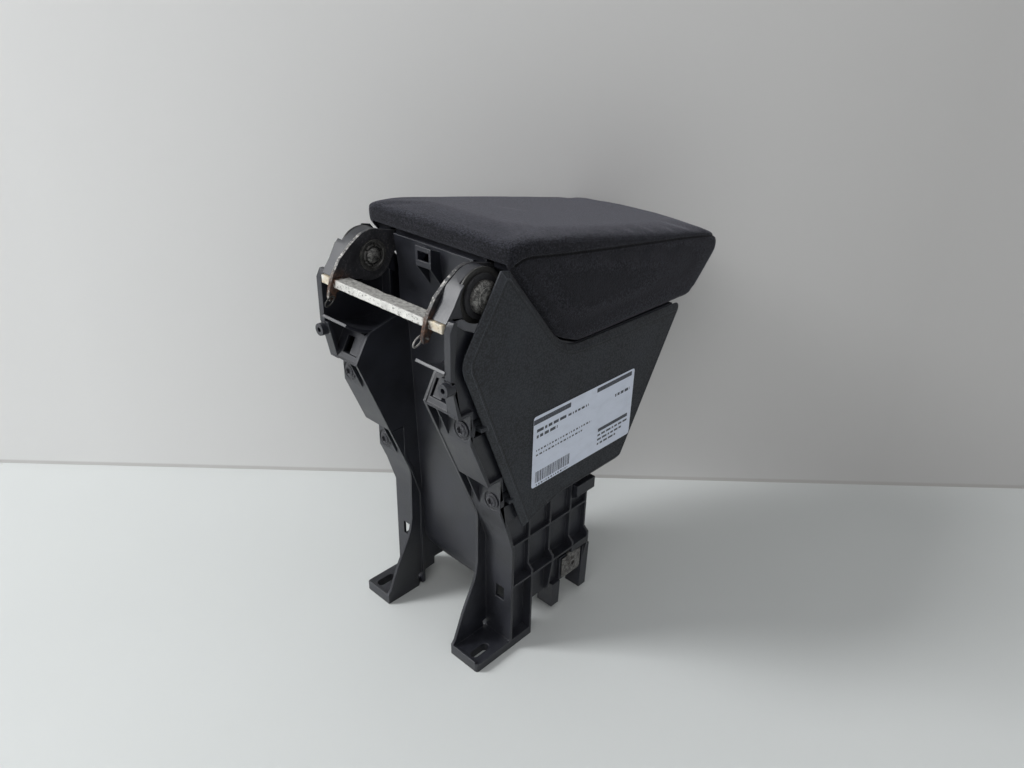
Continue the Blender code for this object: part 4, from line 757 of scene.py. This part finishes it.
class ARMREST_OT_bar(bpy.types.Operator):
    """Build the pitted cross bar"""
    bl_idname = "armrest.cross_bar"
    bl_label = "Cross Bar"

    def execute(self, context):
        low, high = (Vector(corner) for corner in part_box("cross_bar"))
        work = bmesh.new()
        bmesh.ops.create_cube(work, size=1.0)
        bmesh.ops.scale(work, vec=high - low, verts=work.verts)
        bmesh.ops.translate(work, vec=(low + high) / 2, verts=work.verts)

        def sliced(place, direction):
            bmesh.ops.bisect_plane(work, geom=work.verts[:] + work.edges[:] + work.faces[:], dist=0.000001,
                                   plane_co=place, plane_no=direction)

        for side in (-1, 1):
            sliced((side * BAR_MIDDLE, 0.0, 0.0), (1.0, 0.0, 0.0))
            sliced((side * (BAR_MIDDLE - BAR_STEP), 0.0, 0.0), (1.0, 0.0, 0.0))
        for vert in work.verts:
            if abs(vert.co.x) > BAR_MIDDLE - BAR_STEP / 2 and vert.co.y > BAR_BACK - SHIFT:
                vert.co.y = BAR_BACK - SHIFT
        round_edges(work, 0.0007, 3, 30.0)
        for step in range(1, 120):
            sliced((low.x + (high.x - low.x) * step / 120, 0.0, 0.0), (1.0, 0.0, 0.0))
        for step in range(1, 7):
            sliced((0.0, low.y + (high.y - low.y) * step / 7, 0.0), (0.0, 1.0, 0.0))
            sliced((0.0, 0.0, low.z + (high.z - low.z) * step / 7), (0.0, 0.0, 1.0))
        work.normal_update()
        for vert in work.verts:
            rough = noise.noise(vert.co * 330.0) + 0.6 * noise.noise(vert.co * 900.0)
            rise = max(0.0, (vert.co.z - low.z) / (high.z - low.z))
            dip = math.exp(-((vert.co.x - DIP_X) / DIP_REACH) ** 2) * rise
            vert.co -= vert.normal * (sizes().bar_pits * max(0.0, 0.6 + rough) + sizes().bar_dip * dip)
        look = pitted_zinc("bar_zinc", colours().zinc, colours().rust)
        show(work, "stop_bar", look, "lid", "zinc_steel", "cross_bar", crease=60.0, weigh=False)
        return {"FINISHED"}


class ARMREST_OT_hooks(bpy.types.Operator):
    """Build the bent wire hooks in the arms' tails"""
    bl_idname = "armrest.wire_hooks"
    bl_label = "Wire Hooks"

    def execute(self, context):
        bright = bare_steel("wire_steel", scaled(colours().steel, 0.85), 0.4, 0.5)
        # The left hook takes a much darker copy of the same wire steel, as painted shade.
        shaded = bare_steel("shaded_wire", scaled(colours().steel, 0.10), 0.4, 0.5)
        hole_y, hole_z = HOOK_HOLE
        lean = math.radians(LOOP_LEAN)
        for label, side in SIDES:
            look = bright if side > 0 else shaded
            path = [(0.0500, *HOOK_HOLE), (0.0470, *HOOK_HOLE), (LOOP_X + 0.0003, *HOOK_HOLE)]
            for step in range(44):
                angle = math.radians(200.0 - 8.1 * step)
                along, across = LOOP_HALF + LOOP_HALF * math.cos(angle), LOOP_SIDE * math.sin(angle)
                path.append((LOOP_X, hole_y + along * math.cos(lean) - across * math.sin(lean),
                             hole_z + along * math.sin(lean) + across * math.cos(lean)))
            data = bpy.data.curves.new("bent_wire_" + label, "CURVE")
            data.dimensions = "3D"
            data.bevel_depth = sizes().wire
            data.bevel_resolution = 5
            data.use_fill_caps = True
            spline = data.splines.new("POLY")
            spline.points.add(len(path) - 1)
            for point, (x, y, z) in zip(spline.points, path):
                point.co = (*at(side * x, y, z), 1.0)
            wire = bpy.data.objects.new("bent_wire_" + label, data)
            bpy.context.scene.collection.objects.link(wire)
            settle(wire, look, "lid", "bright_steel", "wire_hook_" + label)
        return {"FINISHED"}


class ARMREST_OT_lid_shell(bpy.types.Operator):
    """Build the lid's hard shell, its underside panel and their screws"""
    bl_idname = "armrest.lid_shell"
    bl_label = "Lid Shell"

    def execute(self, context):
        shell = moulded_plastic("shell_plastic", colours().plastic, 0.5)
        panel = grained_plastic("liner_grain", colours().trim)
        steel = bare_steel("lid_screw_steel", (0.35, 0.34, 0.32), 0.4, 0.5)
        softened("lid_carrier", "carrier_shell", 0.0004, shell, "lid", "black_plastic")
        softened("lid_liner", "liner_panel", 0.0004, panel, "lid", "black_plastic")
        for label, side in SIDES:
            for kind in ("arm", "liner"):
                for place in ("rear", "front"):
                    node = kind + "_screw_" + place + "_" + label
                    softened(node, "pan_" + node, 0.00012, steel, "lid", "zinc_steel", 2, 40.0)
        return {"FINISHED"}


class ARMREST_OT_buffers(bpy.types.Operator):
    """Build the two rubber buffers on the bin's rim"""
    bl_idname = "armrest.lid_buffers"
    bl_label = "Lid Buffers"

    def execute(self, context):
        look = soft_rubber("buffer_rubber", (0.018, 0.018, 0.019))
        for label, side in SIDES:
            softened("lid_buffer_" + label, "rubber_buffer_" + label, 0.0003, look, "frame", "rubber", 3,
                     30.0)
        return {"FINISHED"}


def cover_blank():
    """The cover's body before it swells: the lid's side view across its width, with rounded edges."""
    half = sizes().lid_half
    outline = [SPLIT[0]] + [(y, z - COVER_DROP) for y, z in SPLIT[1:]] + list(LID_TOP)
    work = slab(outline, -half, half)
    top = [edge for edge in work.edges if all(abs(abs(vert.co.x) - half) < 1e-6 for vert in edge.verts)
           and abs(edge.verts[0].co.x - edge.verts[1].co.x) < 1e-6]
    upper = {round(y - SHIFT, 5) for y, z in LID_TOP}
    long_edges = [edge for edge in top if all(round(vert.co.y, 5) in upper for vert in edge.verts)]
    bmesh.ops.bevel(work, geom=long_edges, offset=sizes().lid_round, offset_type="OFFSET", segments=5,
                    profile=0.5, affect="EDGES", clamp_overlap=True, material=-1)
    cross = [edge for edge in work.edges if abs(edge.verts[0].co.x + edge.verts[1].co.x) < 1e-6
             and edge.calc_length() > half and edge.verts[0].co.z > 0.27 and edge.calc_face_angle(0.0) > 0.15]
    bmesh.ops.bevel(work, geom=cross, offset=CORNER_ROUND, offset_type="OFFSET", segments=3,
                    profile=0.5, affect="EDGES", clamp_overlap=True, material=-1)
    rear, front = LID_TOP[-1][0], LID_TOP[0][0]
    for vert in work.verts:
        share = (vert.co.y + SHIFT - rear) / (front - rear)
        vert.co.x *= 1.0 - sizes().lid_taper / half * max(0.0, share)
    return object_of(work, "cover_blank")


def swell(item, before):
    """Runs the padding's cloth, and holds each point within the furthest that it may move."""
    group = item.vertex_groups.new(name="held")
    for vert in item.data.vertices:
        y, z = vert.co.y + SHIFT, vert.co.z
        above = z - split_height(y)
        side = abs(vert.co.x) > sizes().lid_half - sizes().lid_taper - 0.004
        hold = max(0.0, min(1.0, (0.016 - above) / 0.008)) if above < 0.016 else 0.0
        seam = min(math.hypot(y - sy, z - sz) for sy, sz in SEAM) if side else 1.0
        hold = max(hold, 1.0 if y < 0.030 and z < 0.322 else 0.0, max(0.0, 0.8 - seam / 0.012))
        if hold > 0.0:
            group.add([vert.index], hold, "REPLACE")
    change = item.modifiers.new("padding", "CLOTH")
    change.settings.use_pressure = True
    change.settings.uniform_pressure_force = 4.0
    change.settings.effector_weights.gravity = 0.0
    change.settings.vertex_group_mass = "held"
    change.settings.pin_stiffness = 1.0
    change.settings.tension_stiffness = 20.0
    change.settings.compression_stiffness = 20.0
    change.settings.bending_stiffness = 1.0
    change.point_cache.frame_start = 1
    change.point_cache.frame_end = 20
    scene = bpy.context.scene
    for step in range(1, 21):
        scene.frame_set(step)
    apply(item, change)
    scene.frame_set(1)
    limit = sizes().swell
    for vert, start in zip(item.data.vertices, before):
        move = vert.co - start
        if move.length > limit:
            vert.co = start + move * (limit / move.length)


def seam_gap(point):
    """How far a point lies from the seam in side view."""
    best = 1.0
    y, z = point.y + SHIFT, point.z
    for (y0, z0), (y1, z1) in zip(SEAM, SEAM[1:]):
        run = (y1 - y0) ** 2 + (z1 - z0) ** 2
        share = max(0.0, min(1.0, ((y - y0) * (y1 - y0) + (z - z0) * (z1 - z0)) / run))
        best = min(best, math.hypot(y - y0 - share * (y1 - y0), z - z0 - share * (z1 - z0)))
    return best


class ARMREST_OT_cushion(bpy.types.Operator):
    """Build the padded fabric cover, with its seam along both sides and across the front"""
    bl_idname = "armrest.lid_cushion"
    bl_label = "Padded Cover"

    def execute(self, context):
        item = cover_blank()
        change = item.modifiers.new("cells", "REMESH")
        change.mode = "VOXEL"
        change.voxel_size = sizes().cloth_pitch
        apply(item, change)
        work = bmesh.new()
        work.from_mesh(item.data)
        for step in range(2):
            bmesh.ops.smooth_vert(work, verts=work.verts, factor=0.5, use_axis_x=True, use_axis_y=True,
                                  use_axis_z=True)
        work.to_mesh(item.data)
        work.free()
        before = [vert.co.copy() for vert in item.data.vertices]
        swell(item, before)
        change = item.modifiers.new("finer", "SUBSURF")
        change.levels = change.render_levels = 1
        apply(item, change)
        work = bmesh.new()
        work.from_mesh(item.data)
        front = max(SEAM)[0]
        level = SEAM[-1][1]

        def distance(vert):
            side = seam_gap(vert.co) if abs(vert.co.x) > 0.055 else 1.0
            ahead = abs(vert.co.z - level) if vert.co.y + SHIFT > front - 0.006 else 1.0
            return min(side, ahead)

        near = {vert for vert in work.verts if distance(vert) < 0.004}
        chosen = [edge for edge in work.edges if near.intersection(edge.verts)]
        bmesh.ops.subdivide_edges(work, edges=chosen, cuts=1, smooth=0.0, use_grid_fill=True)
        mark = work.verts.layers.float.new("seam")
        work.normal_update()
        shifts = []
        for vert in work.verts:
            gap = distance(vert)
            weight = math.exp(-(gap / 0.0011) ** 2)
            vert[mark] = math.exp(-(gap / 0.0007) ** 2)
            if weight > 0.01:
                shifts.append((vert, vert.normal * (sizes().seam_depth * weight)))
        for vert, move in shifts:
            vert.co -= move
        work.to_mesh(item.data)
        work.free()
        for outline in (COVER_HOLLOW, COVER_REAR):
            cut(item, object_of(slab(outline, -HOLLOW_HALF, HOLLOW_HALF), "hollow"))
        item.name = "fabric_cover"
        look = cloth("cover_cloth", colours().fabric)
        settle(item, look, "lid", "fabric", "lid_cushion", crease=70.0, weigh=False)
        return {"FINISHED"}


class ARMREST_OT_label(bpy.types.Operator):
    """Build the paper label with plain printed bars and no lettering"""
    bl_idname = "armrest.paper_label"
    bl_label = "Paper Label"

    def execute(self, context):
        paper = coated_paper("label_paper", colours().paper)
        softened("paper_label", "sticker", 0.00008, paper, "frame", "paper")
        low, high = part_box("paper_label")
        face = high[0]
        work = bmesh.new()
        bars = [(0.000, 0.340, 0.895, 0.960), (0.600, 0.970, 0.900, 0.960), (0.640, 0.960, 0.300, 0.350)]

        def words(left, right, level, height, longest):
            """One line of small marks with gaps between them."""
            place, count = left, 0
            while place < right:
                width = longest * (0.35 + 0.65 * ((count * 5 + int(level * 40.0)) % 4) / 3.0)
                bars.append((place, min(place + width, right), level, level + height))
                place += width + 0.012
                count += 1

        words(0.030, 0.300, 0.780, 0.040, 0.060)
        words(0.030, 0.220, 0.700, 0.040, 0.050)
        words(0.320, 0.520, 0.780, 0.030, 0.030)
        words(0.030, 0.560, 0.520, 0.022, 0.020)
        words(0.030, 0.480, 0.455, 0.022, 0.024)
        words(0.800, 0.960, 0.700, 0.040, 0.040)
        for row in range(3):
            words(0.640, 0.960 - 0.06 * row, 0.235 - 0.065 * row, 0.028, 0.050)
        words(0.040, 0.340, 0.030, 0.022, 0.016)
        place = 0.030
        for step in range(30):
            width = (0.003, 0.006, 0.009)[(step * 7 + step // 3) % 3]
            bars.append((place, place + width, 0.075, 0.230))
            place += width + (0.004, 0.006)[(step * 5) % 2]
        for left, right, bottom, top in bars:
            y0, y1 = (low[1] + (high[1] - low[1]) * part for part in (left, right))
            z0, z1 = (low[2] + (high[2] - low[2]) * part for part in (bottom, top))
            corners = ((y0, z0), (y1, z0), (y1, z1), (y0, z1))
            work.faces.new([work.verts.new((face + 0.00004, y, z)) for y, z in corners])
        bmesh.ops.recalc_face_normals(work, faces=work.faces)
        for item in work.faces:
            if item.normal.x < 0.0:
                item.normal_flip()
        look = Shading("label_print", roughness=0.5)
        tone = look.noise(900.0)
        ink = colours().print_dark
        look.driven(Base_Color=look.mix(look.spread(tone, 0.5, 0.75), ink, scaled(ink, 3.0)))
        show(work, "printed_bars", look.material, "frame", "paper", weigh=False)
        return {"FINISHED"}


class ARMREST_OT_stage(bpy.types.Operator):
    """Set up the floor, the backdrop, the lights and the camera"""
    bl_idname = "armrest.stage"
    bl_label = "Stage"

    def execute(self, context):
        stage = context.scene.armrest_stage
        angle, tilt, roll = (math.radians(turn) for turn in (VIEW_TURN, VIEW_TILT, VIEW_ROLL))
        back = Vector((math.sin(angle) * math.cos(tilt), -math.cos(angle) * math.cos(tilt), math.sin(tilt)))
        flat = Vector((math.cos(angle), math.sin(angle), 0.0))
        rise = back.cross(flat)
        right = flat * math.cos(roll) + rise * math.sin(roll)
        up = rise * math.cos(roll) - flat * math.sin(roll)
        eye = at(*EYE)
        camera = bpy.data.objects.new("camera", bpy.data.cameras.new("camera"))
        camera.data.lens = stage.lens
        camera.data.clip_start = 0.01
        camera.matrix_world = Matrix((right, up, back)).transposed().to_4x4()
        camera.location = eye
        context.scene.collection.objects.link(camera)
        context.scene.camera = camera

        def plane(name, corners, tint, rough):
            work = bmesh.new()
            work.faces.new([work.verts.new(corner) for corner in corners])
            item = object_of(work, name)
            look = Shading(name + "_paint")
            cloudy = look.noise(3.0, 3.0)
            look.driven(Base_Color=look.mix(look.spread(cloudy, 0.3, 0.7), tint, scaled(tint, 0.965)),
                        Roughness=look.spread(cloudy, 0.3, 0.7, rough, rough + 0.08))
            item.data.materials.append(look.material)
            return look

        corners = [(x * FLOOR_HALF, y * FLOOR_HALF, 0.0) for x, y in ((-1, -1), (1, -1), (1, 1), (-1, 1))]
        plane("floor", corners, stage.floor, 0.42)
        ahead = Vector((-math.sin(angle), math.cos(angle), 0.0))
        foot = eye + ahead * WALL_AHEAD
        foot.z = 0.0
        side = flat * 3.0
        lift = Vector((0.0, 0.0, WALL_HEIGHT))
        corners = (foot - side, foot + side, foot + side + lift, foot - side + lift)
        wall = plane("backdrop", corners, stage.wall, 0.85)
        centre = foot.dot(flat)
        along = wall.vector("DOT_PRODUCT", wall.place, tuple(flat), "Value")
        # The backdrop is painted lighter on its left and darker on its right, as a painted falloff of the
        # window lamp's light.
        dim = wall.spread(along, centre - 0.42, centre + 0.38)
        tone = wall.mix(dim, tuple(stage.wall), tuple(stage.wall_dim))
        height = wall.add("ShaderNodeSeparateXYZ", {0: wall.place}).outputs["Z"]
        line = wall.spread(height, 0.003, 0.005, 0.35, 0.0)
        wall.driven(Base_Color=wall.mix(line, tone, (0.36, 0.33, 0.30)))
        clear = wall.add("ShaderNodeBsdfTransparent").outputs[0]
        behind = wall.add("ShaderNodeNewGeometry").outputs["Backfacing"]
        seen = wall.add("ShaderNodeMixShader", {0: behind, 1: wall.shader.outputs[0], 2: clear}).outputs[0]
        wall.tree.links.new(seen, wall.tree.nodes["Material Output"].inputs[0])

        def lamp(name, place, aim, size, watts, tint):
            data = bpy.data.lights.new(name, "AREA")
            data.shape = "DISK"
            data.size = size
            data.energy = watts
            data.color = tint
            item = bpy.data.objects.new(name, data)
            item.location = place
            item.rotation_euler = (Vector(aim) - Vector(place)).to_track_quat("-Z", "Y").to_euler()
            context.scene.collection.objects.link(item)

        lamp("window", (-2.21, -1.96, 2.36), (0.0, 0.0, 0.15), 1.9, 182.0, (0.98, 0.99, 1.0))
        lamp("fill", (0.9, -1.2, 1.6), (0.0, 0.0, 0.15), 1.6, 7.0, (1.0, 0.99, 0.97))
        world = bpy.data.worlds.new("studio")
        world.use_nodes = True
        world.node_tree.nodes["Background"].inputs[0].default_value = (0.95, 0.97, 1.0, 1.0)
        world.node_tree.nodes["Background"].inputs[1].default_value = 0.42
        context.scene.world = world
        context.scene.view_settings.view_transform = "Standard"
        return {"FINISHED"}


class ARMREST_PT_panel(bpy.types.Panel):
    """The sidebar panel that lists the operators and their settings"""
    bl_idname = "ARMREST_PT_panel"
    bl_label = "Armrest"
    bl_space_type = "VIEW_3D"
    bl_region_type = "UI"
    bl_category = "Armrest"

    def draw(self, context):
        for operator in OPERATORS:
            self.layout.operator(operator.bl_idname)
        for key, _ in GROUPS:
            group = getattr(context.scene, key)
            box = self.layout.box()
            for name in group.__annotations__:
                box.prop(group, name)


GROUPS = (("armrest_sizes", ArmrestSizes), ("armrest_colours", ArmrestColours),
          ("armrest_stage", ArmrestStage))
OPERATORS = (ARMREST_OT_stage, ARMREST_OT_frame, ARMREST_OT_bin, ARMREST_OT_trims, ARMREST_OT_screws,
             ARMREST_OT_clip_nuts, ARMREST_OT_hinge, ARMREST_OT_arms, ARMREST_OT_bar, ARMREST_OT_hooks,
             ARMREST_OT_lid_shell, ARMREST_OT_buffers, ARMREST_OT_cushion, ARMREST_OT_label)


def register():
    """Registers the properties, the operators and the panel."""
    for name, group in GROUPS:
        bpy.utils.register_class(group)
        setattr(bpy.types.Scene, name, bpy.props.PointerProperty(type=group))
    for operator in OPERATORS:
        bpy.utils.register_class(operator)
    bpy.utils.register_class(ARMREST_PT_panel)


def unregister():
    """Takes away what register added."""
    bpy.utils.unregister_class(ARMREST_PT_panel)
    for operator in reversed(OPERATORS):
        bpy.utils.unregister_class(operator)
    for name, group in reversed(GROUPS):
        delattr(bpy.types.Scene, name)
        bpy.utils.unregister_class(group)


def main():
    """Builds the stage and every piece."""
    register()
    for operator in OPERATORS:
        family, name = operator.bl_idname.split(".")
        getattr(getattr(bpy.ops, family), name)()


if __name__ == "__main__":
    main()
